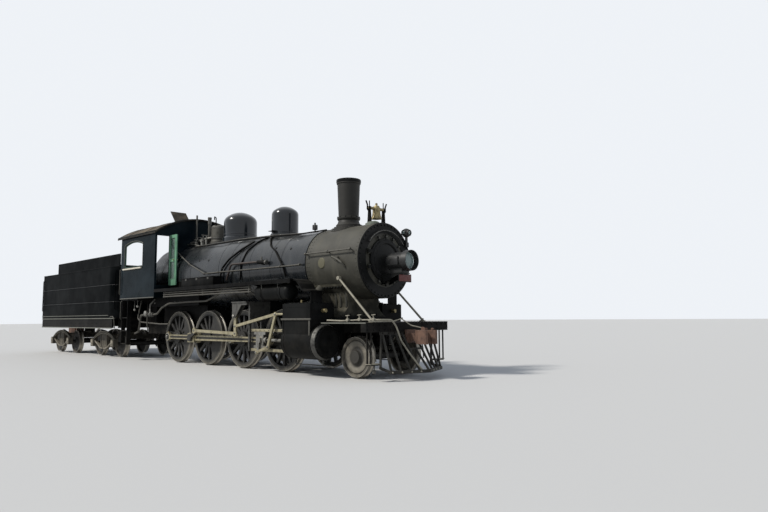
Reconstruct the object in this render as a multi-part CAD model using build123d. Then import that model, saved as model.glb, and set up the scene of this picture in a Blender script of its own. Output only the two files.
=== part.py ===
# A steam locomotive with eight driving wheels, a two-wheel leading truck and its tender.
# Millimetres. +X is forward, +Y is the left side, +Z is up, and Z 0 is the lowest point of the wheel flanges.
from build123d import *
import math
import os

os.makedirs("parts", exist_ok=True)

RIGHT = -1
LEFT = 1
SIDES = (RIGHT, LEFT)

# Clearances: SEAT between pieces that rest on each other, RUN between a pin and its hole.
SEAT = 0.3
RUN = 0.3
AIR = 6.0

# Reach of the two coupler faces from the main (third) driving axle, which sets the middle of the frame.
FRONT_REACH = 7270.0
REAR_REACH = 12100.0
MAIN_X = (REAR_REACH - FRONT_REACH) / 2

# Wheels and axles
FLANGE = 28.0
BACK_TO_BACK = 1357.0
TYRE_WIDTH = 140.0
DRIVER_R = 724.0
MAIN_ROD_LENGTH = 3255.0
DRIVER_PITCH = (MAIN_ROD_LENGTH + 97.0) / 2
DRIVER_RIM_R = 610.0
SPOKES = 14
TRUCK_R = 419.0
AXLE_R = 110.0
TRUCK_AXLE_R = 76.0
JOURNAL_R = 62.0
WHEEL_BACK = BACK_TO_BACK / 2
WHEEL_FACE = WHEEL_BACK + TYRE_WIDTH
DRIVER_Z = DRIVER_R + FLANGE
TRUCK_Z = TRUCK_R + FLANGE
HUB_FACE = WHEEL_FACE + 35.0
PILOT_AXLE_X = MAIN_X + MAIN_ROD_LENGTH + 2565.0

# Driving axles from the front: name, place in pitches ahead of the main axle, chord of the balance weight
DRIVER_TABLE = (
    ("driver_wheelset_1", 2, 330.0),
    ("driver_wheelset_2", 1, 330.0),
    ("driver_wheelset_3", 0, 190.0),
    ("driver_wheelset_4", -1, 330.0),
)
DRIVER_XS = [MAIN_X + pitches * DRIVER_PITCH for _, pitches, _ in DRIVER_TABLE]

# Cranks and rods. The right cranks point to the rear, the left ones a quarter turn behind, straight down.
CRANK = 355.5
CRANK_DIRECTION = {RIGHT: (-1, 0), LEFT: (0, -1)}
WHEEL_TURN = {RIGHT: 180, LEFT: 90}
PIN_R = 60.0
MAIN_PIN_R = 85.0
PIN_CAP = 22.0
SIDE_ROD_Y = 932.0
SIDE_ROD_THICK = 86.0
SIDE_ROD_HEIGHT = 120.0
SIDE_ROD_BOSS_R = 118.0
MOTION_Y = 1090.0
MAIN_ROD_THICK = 66.0
MAIN_ROD_FRONT_H = 108.0
MAIN_ROD_REAR_H = 150.0
BIG_END_THICK = 120.0
BIG_END_LENGTH = 340.0
BIG_END_HEIGHT = 250.0
SMALL_END_R = 88.0
WRIST_PIN_R = 50.0
FLUTE = 14.0

# Crosshead and its two guide bars
GUIDE_GAP = 195.0
GUIDE_THICK = 72.0
GUIDE_WIDTH = 150.0
SHOE_THICK = 66.0
SHOE_LENGTH = 460.0
PISTON_ROD_R = 42.0
CROSSHEAD_MIDDLE = MAIN_X + MAIN_ROD_LENGTH
YOKE_X0 = MAIN_X + 3 * DRIVER_PITCH / 2 - 24.0
YOKE_X1 = YOKE_X0 + 50.0
YOKE_LEG = 56.0

# Cylinders, steam chests and saddle
CYLINDER_BACK = CROSSHEAD_MIDDLE + 745.0
CYLINDER_FRONT = CYLINDER_BACK + 1255.0
CYLINDER_R = 380.0
HEAD_THICK = 60.0
HEAD_R = 350.0
BACK_HEAD_R = 255.0
BACK_HEAD_LENGTH = DRIVER_XS[0] + DRIVER_Z + 21.0 - CYLINDER_BACK
CHEST_BACK = CYLINDER_BACK + 150.0
CHEST_FRONT = CYLINDER_BACK + 1100.0
CHEST_IN = 770.0
CHEST_OUT = 1440.0
CHEST_Z0 = 1228.0
CHEST_Z1 = 1578.0
SADDLE_BACK = CYLINDER_BACK + 300.0
SADDLE_FRONT = CYLINDER_BACK + 1250.0
SADDLE_HALF = 560.0
FLANGE_HALF = 670.0
FLANGE_THICK = 32.0

# Valve gear, in a plane of its own outside the main rod
GEAR_Y = 1240.0
GEAR_THICK = 44.0
ECCENTRIC = 200.0
TRUNNION_X = CROSSHEAD_MIDDLE - 1275.0
TRUNNION_Z = 1328.0
LINK_FOOT = 430.0
LINK_HEAD = 245.0
LINK_SHELF = 325.0
ECCENTRIC_ROD = MAIN_ROD_LENGTH - 1270.0
LINK_BLOCK = 250.0
RADIUS_ROD = 1670.0
VALVE_Z = 1358.0
LEVER = 800.0
UNION_LINK = 470.0
ARM_DROP = 285.0
ARM_Y0 = 1172.0
ARM_Y1 = 1212.0

# Bar frames
FRAME_Y0 = 490.0
FRAME_Y1 = 600.0
FRAME_TOP = 1110.0
FRAME_RAIL = 130.0
FRAME_BOTTOM = 440.0
FRAME_REAR = MAIN_X - 4050.0
FRAME_LEGS = 260.0
FRONT_RAIL_Z0 = 940.0
BEAM_X0 = MAIN_X + 6480.0
BEAM_X1 = MAIN_X + 6620.0
BEAM_Z0 = 978.0
BEAM_Z1 = 1168.0
BEAM_HALF = 1300.0
DECK_THICK = 25.0

# Boiler: its centre line, and its radius at each change of section
STACK_X = CYLINDER_BACK + 760.0
STACK_BORE = 185.0
STACK_STEPS = ((430.0, 18.0), (385.0, 38.0), (345.0, 62.0))
BOILER_Z = 2518.0
SMOKEBOX_R = 838.0
SMOKEBOX_WALL = 20.0
SMOKEBOX_BACK = CYLINDER_BACK + 200.0
SMOKEBOX_FRONT = MAIN_X + 5910.0
FRONT_PLATE = 40.0
DOOR_HOLE_R = 440.0
FRONT_COURSE_R = 850.0
TAPER_FRONT = MAIN_X + 3250.0
TAPER_BACK = MAIN_X + 850.0
BARREL_R = 1000.0
BACKHEAD_X = MAIN_X - 3050.0
FIREBOX_HALF = BARREL_R - 15.0
FIREBOX_Z0 = BOILER_Z - BARREL_R + 122.0
FIREBOX_FRONT = MAIN_X - 250.0

# Cab
CAB_REAR = MAIN_X - 4220.0
CAB_FRONT = MAIN_X - 1930.0
CAB_HALF = 1480.0
CAB_WALL = 45.0
CAB_Z0 = 1888.0
CAB_EAVE = 3828.0
ROOF_HALF = 1530.0
ROOF_TOP = 4330.0
ROOF_THICK = 40.0
ROOF_REAR = MAIN_X - 4420.0
ROOF_FRONT = MAIN_X - 1850.0
WINDOW_X0 = MAIN_X - 3950.0
WINDOW_X1 = MAIN_X - 2730.0
WINDOW_Z0 = 2868.0
WINDOW_Z1 = 3560.0
WINDOW_RISE = 98.0
DOORWAY_Y0 = BARREL_R + 35.0
DOORWAY_Y1 = 1420.0
DOORWAY_Z0 = 2260.0
DOORWAY_Z1 = 3728.0
CAB_DOOR_THICK = 35.0
CAB_DOOR_GAP = 10.0
CAB_HINGE_OFF = 52.0
CAB_HINGE_BACK = 11.0
CAB_HINGE_IN = 8.0
CAB_DOOR_LAP = 53.0
CAB_HINGE_PIN_R = 8.0
CAB_HINGE_R = 14.0
CAB_HINGE_H = 60.0
CAB_HINGE_ZS = (DOORWAY_Z0 + 150.0, DOORWAY_Z1 - 210.0)
FLOOR_Z0 = 1850.0
FLOOR_THICK = 50.0

# Running boards
BOARD_Z = 2130.0
BOARD_THICK = 28.0
BOARD_IN = BARREL_R + 10.0
BOARD_FRONT = CYLINDER_BACK + 450.0
BOARD_DROP = ((130.0, 35.0), (220.0, 110.0), (310.0, 230.0), (400.0, 268.0), (600.0, 274.0))
BOARD_LEAN = (0.0, 0.2, 0.55, 1.0, 0.9, 0.3, 0.0)
TANK_X0 = BOARD_FRONT - 1450.0
TANK_X1 = BOARD_FRONT - 220.0
TANK_Y = 1235.0
TANK_Z = 1860.0
TANK_R = 190.0

# Tender
DRAWBAR_X = MAIN_X - 4300.0
TENDER_REAR = MAIN_X - REAR_REACH + 750.0
TENDER_FRONT = MAIN_X - 4600.0
TENDER_HALF = 1480.0
TENDER_CORNER = 450.0
TENDER_TANK_Z0 = 1328.0
TENDER_TANK_Z1 = 2978.0
COAL_BOARD_Z = 3400.0
COAL_HALF = 1200.0
COAL_BACK = TENDER_REAR + 2650.0
SIDE_BOARD_BACK = TENDER_REAR + 880.0
SILL_Z0 = 988.0
TRUCK_CENTRES = (TENDER_FRONT - 1830.0, TENDER_REAR + 920.0)
TRUCK_BASE = 1680.0
BOLSTER_Z = 820.0

part_solids = {}


def block(x0, x1, y0, y1, z0, z1):
    """A box between two corners."""
    centre = Pos((x0 + x1) / 2, (y0 + y1) / 2, (z0 + z1) / 2)
    return centre * Box(abs(x1 - x0), abs(y1 - y0), abs(z1 - z0))


def side_block(side, x0, x1, y0, y1, z0, z1):
    """A box on one side of the machine, with y0 and y1 measured outwards."""
    return block(x0, x1, side * y0, side * y1, z0, z1)


def bar(start, end, radius):
    """A round bar from one point to another."""
    origin = Vector(*start)
    run = Vector(*end) - origin
    ends = (Align.CENTER, Align.CENTER, Align.MIN)
    return Plane(origin=origin, z_dir=run) * Cylinder(radius, run.length, align=ends)


def outline(points):
    """A flat face inside a closed chain of straight lines."""
    return make_face(Polyline(*points, close=True))


def plate_xz(points, y0, y1):
    """A plate whose outline is given in X and Z."""
    low, high = sorted((y0, y1))
    return extrude(Plane.XZ.offset(-high) * outline(points), amount=high - low)


def plate_yz(points, x0, x1):
    """A plate whose outline is given in Y and Z."""
    return extrude(Plane.YZ.offset(x0) * outline(points), amount=x1 - x0)


def plate_xy(points, z0, z1):
    """A plate whose outline is given in X and Y."""
    return extrude(Plane.XY.offset(z0) * outline(points), amount=z1 - z0)


def turned_x(points, y, z):
    """A body turned about a line along X, from points of X and radius."""
    return Pos(0, y, z) * revolve(Plane.XZ * outline(points), Axis.X)


def turned_z(points, x, y):
    """A body turned about a vertical line, from points of radius and Z."""
    return Pos(x, y, 0) * revolve(Plane.XZ * outline(points), Axis.Z)


def link(start, end, width, boss_r, y0, y1):
    """A flat link with a round boss at each end, start and end in X and Z."""
    run = math.hypot(end[0] - start[0], end[1] - start[1])
    across = ((start[1] - end[1]) / run * width / 2, (end[0] - start[0]) / run * width / 2)
    shank = plate_xz(
        [
            (start[0] + across[0], start[1] + across[1]),
            (end[0] + across[0], end[1] + across[1]),
            (end[0] - across[0], end[1] - across[1]),
            (start[0] - across[0], start[1] - across[1]),
        ],
        y0,
        y1,
    )
    bosses = [bar((p[0], y0, p[1]), (p[0], y1, p[1]), boss_r) for p in (start, end)]
    return shank + bosses


def meet(a, reach_a, b, reach_b, turn):
    """The point at two given distances from a and b, on the side that turn picks."""
    gap = math.hypot(b[0] - a[0], b[1] - a[1])
    along = (reach_a**2 - reach_b**2 + gap**2) / (2 * gap)
    off = turn * math.sqrt(reach_a**2 - along**2)
    ux, uz = (b[0] - a[0]) / gap, (b[1] - a[1]) / gap
    return (a[0] + along * ux - off * uz, a[1] + along * uz + off * ux)


def group(solids):
    """Solids of one node that don't touch each other."""
    return Compound(children=[piece for solid in solids for piece in solid.solids()])


def keep(name, shape):
    """Names a finished piece."""
    part_solids[name] = shape


def crank_pin(side, axle_x):
    """X and Z of a crank pin."""
    along, up = CRANK_DIRECTION[side]
    return (axle_x + along * CRANK, DRIVER_Z + up * CRANK)


def crosshead_x(side):
    """X of the crosshead pin, which the main rod sets."""
    pin = crank_pin(side, MAIN_X)
    return pin[0] + math.sqrt(MAIN_ROD_LENGTH**2 - (pin[1] - DRIVER_Z) ** 2)


def on_side(side, local, x, z):
    """Puts a wheel, drawn on its back face and facing up, on one side of the machine."""
    return Pos(x, side * WHEEL_BACK, z) * Rot(-90 * side, 0, 0) * local


# Driving wheels
def driver_wheel(chord, main):
    """A spoked wheel with its crank along +X, drawn on its back face."""
    tread_z = TYRE_WIDTH
    ring = revolve(
        Plane.XZ
        * outline(
            [
                (DRIVER_RIM_R, 0),
                (DRIVER_R + FLANGE, 0),
                (DRIVER_R + FLANGE, 20),
                (DRIVER_R + 12, 34),
                (DRIVER_R, 42),
                (DRIVER_R, tread_z),
                (DRIVER_RIM_R, tread_z),
            ]
        ),
        Axis.Z,
    )
    up = (Align.CENTER, Align.CENTER, Align.MIN)
    hub_height = HUB_FACE - WHEEL_BACK
    hub = Cylinder(195, hub_height, align=up)
    spoke = extrude(
        outline([(120, -48), (DRIVER_RIM_R + 20, -32), (DRIVER_RIM_R + 20, 32), (120, 48)]),
        amount=70,
    )
    spokes = [Rot(0, 0, 360 * (i + 0.5) / SPOKES) * Pos(0, 0, 40) * spoke for i in range(SPOKES)]
    boss = Pos(CRANK, 0, 30) * Cylinder(140, hub_height - 30, align=up)
    web = Pos(CRANK / 2, 0, 30 + (hub_height - 30) / 2) * Box(CRANK, 250, hub_height - 30)
    weight = Pos(0, 0, 22) * Cylinder(DRIVER_RIM_R + 10, 108, align=up)
    weight = weight & Pos(-chord - DRIVER_R, 0, 70) * Box(2 * DRIVER_R, 4 * DRIVER_R, 200)
    pieces = [hub, boss, web, weight] + spokes
    rod_in = SIDE_ROD_Y - SIDE_ROD_THICK / 2 - WHEEL_BACK - SEAT
    rod_out = SIDE_ROD_Y + SIDE_ROD_THICK / 2 - WHEEL_BACK + SEAT
    pin_r = MAIN_PIN_R if main else PIN_R
    end = MOTION_Y - BIG_END_THICK / 2 - WHEEL_BACK - SEAT if main else rod_out + PIN_CAP
    pieces.append(Pos(CRANK, 0, 100) * Cylinder(pin_r + 25, rod_in - 100, align=up))
    pieces.append(Pos(CRANK, 0, 100) * Cylinder(pin_r, end - 100, align=up))
    pieces.append(Pos(CRANK, 0, rod_out) * Cylinder(pin_r + 20, end - rod_out, align=up))
    wheel = ring + pieces
    return wheel - Cylinder(AXLE_R + SEAT, 4 * hub_height)


def eccentric_crank(side):
    """The return crank outside the main rod, drawn like the wheel that carries it."""
    up = (Align.CENTER, Align.CENTER, Align.MIN)
    inner = MOTION_Y + BIG_END_THICK / 2 + SEAT - WHEEL_BACK
    outer = GEAR_Y - GEAR_THICK / 2 - WHEEL_BACK - 13
    tip = (0, side * ECCENTRIC)
    run = math.hypot(CRANK, ECCENTRIC)
    nx, ny = tip[1] / run * 45, CRANK / run * 45
    arm = extrude(
        Plane.XY.offset(inner + AIR)
        * outline(
            [
                (CRANK + nx, ny),
                (tip[0] + nx, tip[1] + ny),
                (tip[0] - nx, tip[1] - ny),
                (CRANK - nx, -ny),
            ]
        ),
        amount=outer - inner - AIR,
    )
    root = Pos(CRANK, 0, inner) * Cylinder(98, outer - inner, align=up)
    eye = Pos(tip[0], tip[1], inner + AIR) * Cylinder(62, outer - inner - AIR, align=up)
    pin_top = GEAR_Y - GEAR_THICK / 2 - WHEEL_BACK - SEAT
    pin = Pos(tip[0], tip[1], inner + AIR) * Cylinder(40, pin_top - inner - AIR, align=up)
    return root + [arm, eye, pin]


def driver_axle(x):
    """The axle between the outer faces of two hubs."""
    return bar((x, -HUB_FACE, DRIVER_Z), (x, HUB_FACE, DRIVER_Z), AXLE_R)


for name, pitches, chord in DRIVER_TABLE:
    main = pitches == 0
    axle_x = MAIN_X + pitches * DRIVER_PITCH
    wheel = driver_wheel(chord, main)
    solids = [driver_axle(axle_x)]
    for side in SIDES:
        solids.append(on_side(side, Rot(0, 0, WHEEL_TURN[side]) * wheel, axle_x, DRIVER_Z))
        if main:
            crank = Rot(0, 0, WHEEL_TURN[side]) * eccentric_crank(side)
            solids.append(on_side(side, crank, axle_x, DRIVER_Z))
    keep(name, group(solids))


# Plate wheels of the leading truck and the tender
def plate_wheel():
    """A dished plate wheel drawn on its back face."""
    bore = TRUCK_AXLE_R + SEAT
    profile = [
        (bore, 0),
        (128, 0),
        (150, 48),
        (345, 62),
        (362, 12),
        (362, 0),
        (TRUCK_R + FLANGE, 0),
        (TRUCK_R + FLANGE, 20),
        (TRUCK_R + 12, 34),
        (TRUCK_R, 42),
        (TRUCK_R, TYRE_WIDTH),
        (368, TYRE_WIDTH),
        (352, 96),
        (160, 84),
        (132, TYRE_WIDTH + 20),
        (bore, TYRE_WIDTH + 20),
    ]
    return revolve(Plane.XZ * outline(profile), Axis.Z)


SMALL_WHEEL = plate_wheel()


def small_wheelset(x, axle_half, journal_half):
    """Two plate wheels on an axle, with thinner journals outside them where a truck needs those."""
    axle = bar((x, -axle_half, TRUCK_Z), (x, axle_half, TRUCK_Z), TRUCK_AXLE_R)
    if journal_half:
        axle += bar((x, -journal_half, TRUCK_Z), (x, journal_half, TRUCK_Z), JOURNAL_R)
    return group([axle] + [on_side(side, SMALL_WHEEL, x, TRUCK_Z) for side in SIDES])


SMALL_HUB_FACE = WHEEL_FACE + 20.0
keep("pilot_wheelset", small_wheelset(PILOT_AXLE_X, SMALL_HUB_FACE, 0))


# Side rods, one level bar on each side with a flute in its outer face
def side_rod(side):
    """A coupling rod through all four crank pins of one side."""
    y_in = side * (SIDE_ROD_Y - SIDE_ROD_THICK / 2)
    y_out = side * (SIDE_ROD_Y + SIDE_ROD_THICK / 2)
    pins = [crank_pin(side, x) for x in DRIVER_XS]
    z = pins[0][1]
    half = SIDE_ROD_HEIGHT / 2
    rod = block(pins[-1][0], pins[0][0], y_in, y_out, z - half, z + half)
    rod += [bar((px, y_in, pz), (px, y_out, pz), SIDE_ROD_BOSS_R) for px, pz in pins]
    main = crank_pin(side, MAIN_X)
    rod += bar((main[0], y_in, z), (main[0], y_out, z), SIDE_ROD_BOSS_R + 27)
    for back, front in zip(pins[1:], pins[:-1]):
        margin = SIDE_ROD_BOSS_R + 60
        floor = y_out - side * FLUTE
        rod -= block(back[0] + margin, front[0] - margin, floor, y_out + side, z - half + 28, z + half - 28)
    for px, pz in pins:
        radius = MAIN_PIN_R if abs(px - main[0]) < 1 else PIN_R
        rod -= bar((px, y_in - side, pz), (px, y_out + side, pz), radius + RUN)
    return rod


# Main rods and crossheads, drawn with the crosshead pin at the origin and turned into place
def main_rod(side):
    """A connecting rod from the crosshead pin to the main crank pin, which it closes over."""
    length = MAIN_ROD_LENGTH
    half = MAIN_ROD_THICK / 2
    shank = plate_xz(
        [
            (-40, -MAIN_ROD_FRONT_H / 2),
            (-length, -MAIN_ROD_REAR_H / 2),
            (-length, MAIN_ROD_REAR_H / 2),
            (-40, MAIN_ROD_FRONT_H / 2),
        ],
        -half,
        half,
    )
    end_x0 = -length - BIG_END_LENGTH / 2
    end_x1 = -length + BIG_END_LENGTH / 2
    thick = BIG_END_THICK / 2
    big_end = block(end_x0, end_x1, -thick, thick, -BIG_END_HEIGHT / 2, BIG_END_HEIGHT / 2)
    small_end = bar((0, -half, 0), (0, half, 0), SMALL_END_R)
    rod = shank + [big_end, small_end]
    flute_x0 = end_x1 + 60
    flute_x1 = -SMALL_END_R - 90
    flute_z = MAIN_ROD_FRONT_H / 2 - 26
    flute = plate_xz(
        [
            (flute_x0, -flute_z - 16),
            (flute_x1, -flute_z),
            (flute_x1, flute_z),
            (flute_x0, flute_z + 16),
        ],
        side * (half - FLUTE),
        side * (half + 1),
    )
    rod -= flute
    rod -= bar((0, -half - 1, 0), (0, half + 1, 0), WRIST_PIN_R + RUN)
    pin = crank_pin(side, MAIN_X)
    drop = math.degrees(math.asin((DRIVER_Z - pin[1]) / length))
    return Pos(crosshead_x(side), side * MOTION_Y, DRIVER_Z) * Rot(0, -drop, 0) * rod


def crosshead(side):
    """A crosshead with its shoes, wrist pin, piston rod and the arm that drives the valve gear."""
    half = GUIDE_WIDTH / 2
    shoe = GUIDE_GAP - SEAT
    slot = MAIN_ROD_THICK / 2 + AIR
    inner = shoe - SHOE_THICK
    head = block(-150, 150, -half, half, -inner - 1, inner + 1)
    for up in (-1, 1):
        head += block(-SHOE_LENGTH / 2, SHOE_LENGTH / 2, -half, half, up * inner, up * shoe)
    head -= block(-200, 105, -slot, slot, -inner + 4, inner - 4)
    head += bar((0, -half, 0), (0, half, 0), WRIST_PIN_R)
    head += bar((140, 0, 0), (SHOE_LENGTH / 2, 0, 0), 78)
    rod_end = CYLINDER_BACK + 150 - crosshead_x(RIGHT)
    head += bar((140, 0, 0), (rod_end, 0, 0), PISTON_ROD_R)
    arm_in, arm_out = side * (ARM_Y0 - MOTION_Y), side * (ARM_Y1 - MOTION_Y)
    head += bar((0, 0, 0), (0, arm_out, 0), WRIST_PIN_R + 30) - bar((0, -slot, 0), (0, slot, 0), 200)
    head += link((0, 0), (0, -ARM_DROP), 70, 48, arm_in, arm_out)
    pin_y = side * (GEAR_Y - GEAR_THICK / 2 - SEAT - MOTION_Y)
    head += bar((0, arm_in, -ARM_DROP), (0, pin_y, -ARM_DROP), 24)
    return Pos(crosshead_x(side), side * MOTION_Y, DRIVER_Z) * head


for side, side_name in ((RIGHT, "right"), (LEFT, "left")):
    keep(f"side_rod_{side_name}", side_rod(side))
    keep(f"main_rod_{side_name}", main_rod(side))
    keep(f"crosshead_{side_name}", crosshead(side))


# Boiler shapes that other pieces are cut to
def boiler_profile(gap):
    """Half section of the lagged boiler, grown by a gap."""
    return [
        (BACKHEAD_X, 0),
        (BACKHEAD_X, BARREL_R + gap),
        (TAPER_BACK, BARREL_R + gap),
        (TAPER_FRONT, FRONT_COURSE_R + gap),
        (SMOKEBOX_BACK, FRONT_COURSE_R + gap),
        (SMOKEBOX_BACK, 0),
    ]


BOILER_ENVELOPE = turned_x(boiler_profile(SEAT), 0, BOILER_Z)
SMOKEBOX_ENVELOPE = bar(
    (SMOKEBOX_BACK - 10, 0, BOILER_Z), (SMOKEBOX_FRONT, 0, BOILER_Z), SMOKEBOX_R + SEAT
)


def boiler_radius(x):
    """Radius of the lagging at a station."""
    share = (x - TAPER_BACK) / (TAPER_FRONT - TAPER_BACK)
    share = min(max(share, 0), 1)
    return BARREL_R + share * (FRONT_COURSE_R - BARREL_R)


# Bar frames, with the cross ties, driving boxes and the waist sheets that hold the boiler
def frame_side(side):
    """One bar frame with a window between each two driving boxes."""
    front = DRIVER_XS[0] + 650
    side_plate = side_block(side, DRIVER_XS[-1] - 650, front, FRAME_Y0, FRAME_Y1, FRAME_BOTTOM, FRAME_TOP)
    side_plate += side_block(side, FRAME_REAR, front, FRAME_Y0, FRAME_Y1, FRAME_TOP - 300, FRAME_TOP)
    side_plate += side_block(side, front - 10, BEAM_X0, FRAME_Y0, FRAME_Y1, FRONT_RAIL_Z0, FRAME_TOP)
    for rear_x, front_x in zip(DRIVER_XS[1:], DRIVER_XS[:-1]):
        window = side_block(
            side,
            rear_x + FRAME_LEGS,
            front_x - FRAME_LEGS,
            FRAME_Y0 - 1,
            FRAME_Y1 + 1,
            FRAME_BOTTOM + FRAME_RAIL,
            FRAME_TOP - FRAME_RAIL,
        )
        side_plate -= window
    for x in DRIVER_XS:
        y0, y1 = side * (FRAME_Y0 - 1), side * (FRAME_Y1 + 60)
        low, high = DRIVER_Z - 190, DRIVER_Z + 190
        side_plate += side_block(side, x - 165, x + 165, FRAME_Y0, FRAME_Y1 + 35, low, high)
        side_plate -= bar((x, y0, DRIVER_Z), (x, y1, DRIVER_Z), AXLE_R + RUN)
    return side_plate


# Cross ties between the frames: X of the middle, half length, bottom and top
TIE_TABLE = (
    (FRAME_REAR + 150, 150, FRAME_TOP - 300, FRAME_TOP),
    (DRIVER_XS[-1], 60, FRAME_TOP - 110, FRAME_TOP),
    (DRIVER_XS[-1] + 3 * DRIVER_PITCH / 2, 60, FRAME_TOP - 110, FRAME_TOP),
    (PILOT_AXLE_X, 300, FRONT_RAIL_Z0, FRONT_RAIL_Z0 + 60),
)
TRUCK_PIVOT_X = CYLINDER_BACK + 450.0
PIVOT_EYE_Z0 = 470.0
PIVOT_EYE_Z1 = 550.0


def frame_ties():
    """Cross ties, the pivot bracket of the leading truck and the waist sheets."""
    inner = FRAME_Y0 - SEAT
    ties = [block(x - half, x + half, -inner, inner, z0, z1) for x, half, z0, z1 in TIE_TABLE]
    bracket = block(TRUCK_PIVOT_X - 120, TRUCK_PIVOT_X + 120, -inner, inner, FRONT_RAIL_Z0, FRAME_TOP)
    bracket += block(TRUCK_PIVOT_X - 90, TRUCK_PIVOT_X + 90, -140, 140, PIVOT_EYE_Z1 + SEAT, FRAME_TOP)
    bracket += bar((TRUCK_PIVOT_X, 0, PIVOT_EYE_Z0), (TRUCK_PIVOT_X, 0, PIVOT_EYE_Z1 + 50), 45)
    ties.append(bracket)
    for x in (YOKE_X0 + 25, MAIN_X + DRIVER_PITCH / 2):
        sheet = block(x - 12, x + 12, -FRAME_Y1, FRAME_Y1, FRAME_TOP + SEAT, BOILER_Z)
        ties.append(sheet - BOILER_ENVELOPE)
    return ties


keep("main_frames", group([frame_side(side) for side in SIDES] + frame_ties()))


# Cylinders with their steam chests, and the saddle between them, as one casting
def cylinder(side):
    """One cylinder with heads, gland, flat-sided casing and steam chest."""
    y = side * MOTION_Y
    barrel_back = CYLINDER_BACK + BACK_HEAD_LENGTH
    body = bar((barrel_back, y, DRIVER_Z), (CYLINDER_FRONT - HEAD_THICK, y, DRIVER_Z), CYLINDER_R)
    body += bar((CYLINDER_FRONT - HEAD_THICK, y, DRIVER_Z), (CYLINDER_FRONT, y, DRIVER_Z), HEAD_R)
    body += bar((CYLINDER_BACK, y, DRIVER_Z), (barrel_back, y, DRIVER_Z), BACK_HEAD_R)
    body += bar((CYLINDER_BACK - 90, y, DRIVER_Z), (CYLINDER_BACK + 10, y, DRIVER_Z), 95)
    casing_z0 = DRIVER_Z + CYLINDER_R / 4
    body += side_block(side, CHEST_BACK, CHEST_FRONT - 20, CHEST_IN, CHEST_OUT - 8, casing_z0, CHEST_Z0 + 5)
    body += side_block(side, CHEST_BACK, CHEST_FRONT, CHEST_IN, CHEST_OUT, CHEST_Z0, CHEST_Z1)
    lip = 22
    lip_y0, lip_y1 = CHEST_IN - lip, CHEST_OUT + lip
    body += side_block(side, CHEST_BACK - lip, CHEST_FRONT + lip, lip_y0, lip_y1, CHEST_Z0, CHEST_Z0 + 30)
    rib_z0, rib_z1 = FRAME_BOTTOM + 180, CHEST_Z0 + 20
    body += side_block(side, SADDLE_BACK, SADDLE_FRONT, FRAME_Y1 + SEAT, 860, rib_z0, rib_z1)
    stroke_end = CYLINDER_BACK + 150 + 2 * CRANK + 60
    body -= bar((CYLINDER_BACK - 100, y, DRIVER_Z), (stroke_end, y, DRIVER_Z), PISTON_ROD_R + RUN)
    stem_y = side * GEAR_Y
    body += bar((CHEST_BACK - 60, stem_y, VALVE_Z), (CHEST_BACK + 10, stem_y, VALVE_Z), 62)
    body -= bar((CHEST_BACK - 70, stem_y, VALVE_Z), (CHEST_BACK + 80, stem_y, VALVE_Z), 26 + RUN)
    return body


def saddle():
    """The saddle that carries the smokebox on the frames."""
    top_z = BOILER_Z - math.sqrt(SMOKEBOX_R**2 - SADDLE_HALF**2) + 60
    half = [(790, FRAME_TOP + SEAT), (790, CHEST_Z0 + 30), (640, 1330)]
    half += [(480, 1500), (470, 1600), (SADDLE_HALF, top_z)]
    points = half + [(-y, z) for y, z in reversed(half)]
    body = plate_yz(points, SADDLE_BACK, SADDLE_FRONT)
    flange = bar((SADDLE_BACK, 0, BOILER_Z), (SADDLE_FRONT, 0, BOILER_Z), SMOKEBOX_R + FLANGE_THICK)
    flange &= block(SADDLE_BACK, SADDLE_FRONT, -FLANGE_HALF, FLANGE_HALF, top_z - 300, BOILER_Z)
    return body + flange - SMOKEBOX_ENVELOPE


keep("cylinders_and_saddle", saddle() + [cylinder(side) for side in SIDES])


# Guide bars and the yoke that carries their rear ends and the link brackets
def motion_bracket(side):
    """Two guide bars, the guide yoke and the bracket of the link on one side."""
    y0, y1 = MOTION_Y - GUIDE_WIDTH / 2, MOTION_Y + GUIDE_WIDTH / 2
    low, high = GUIDE_GAP, GUIDE_GAP + GUIDE_THICK
    top_z = TRUNNION_Z + LINK_SHELF
    leg_out = y1 - 15 + YOKE_LEG
    over_rods = DRIVER_Z + CRANK + SIDE_ROD_HEIGHT / 2 + 22
    rods_in = SIDE_ROD_Y - SIDE_ROD_THICK / 2 - 25
    yoke = side_block(side, YOKE_X0, YOKE_X1, FRAME_Y1 + SEAT, leg_out, DRIVER_Z - high, top_z + 25)
    yoke -= side_block(side, YOKE_X0 - 1, YOKE_X1 + 1, rods_in, y1 - 15, DRIVER_Z - high - 1, over_rods)
    bars = [
        side_block(side, YOKE_X0, CYLINDER_BACK - SEAT, y0, y1, DRIVER_Z + low, DRIVER_Z + high),
        side_block(side, YOKE_X0, CYLINDER_BACK - SEAT, y0, y1, DRIVER_Z - high, DRIVER_Z - low),
    ]
    shelf = side_block(side, TRUNNION_X - 60, YOKE_X1, 900, GEAR_Y + 90, top_z, top_z + 25)
    cheeks = []
    for inner, outer in ((GEAR_Y - 62, GEAR_Y - 34), (GEAR_Y + 34, GEAR_Y + 62)):
        cheek = plate_xz(
            [
                (TRUNNION_X - 60, top_z + 5),
                (TRUNNION_X - 60, TRUNNION_Z - 50),
                (TRUNNION_X + 60, TRUNNION_Z - 50),
                (TRUNNION_X + 330, top_z - 60),
                (YOKE_X1, top_z - 60),
                (YOKE_X1, top_z + 5),
            ],
            side * inner,
            side * outer,
        )
        start = (TRUNNION_X, side * (inner - 1), TRUNNION_Z)
        end = (TRUNNION_X, side * (outer + 1), TRUNNION_Z)
        cheeks.append(cheek - bar(start, end, 30 + RUN))
    return yoke + bars + [shelf] + cheeks


keep("motion_brackets", group([motion_bracket(side) for side in SIDES]))


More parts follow.
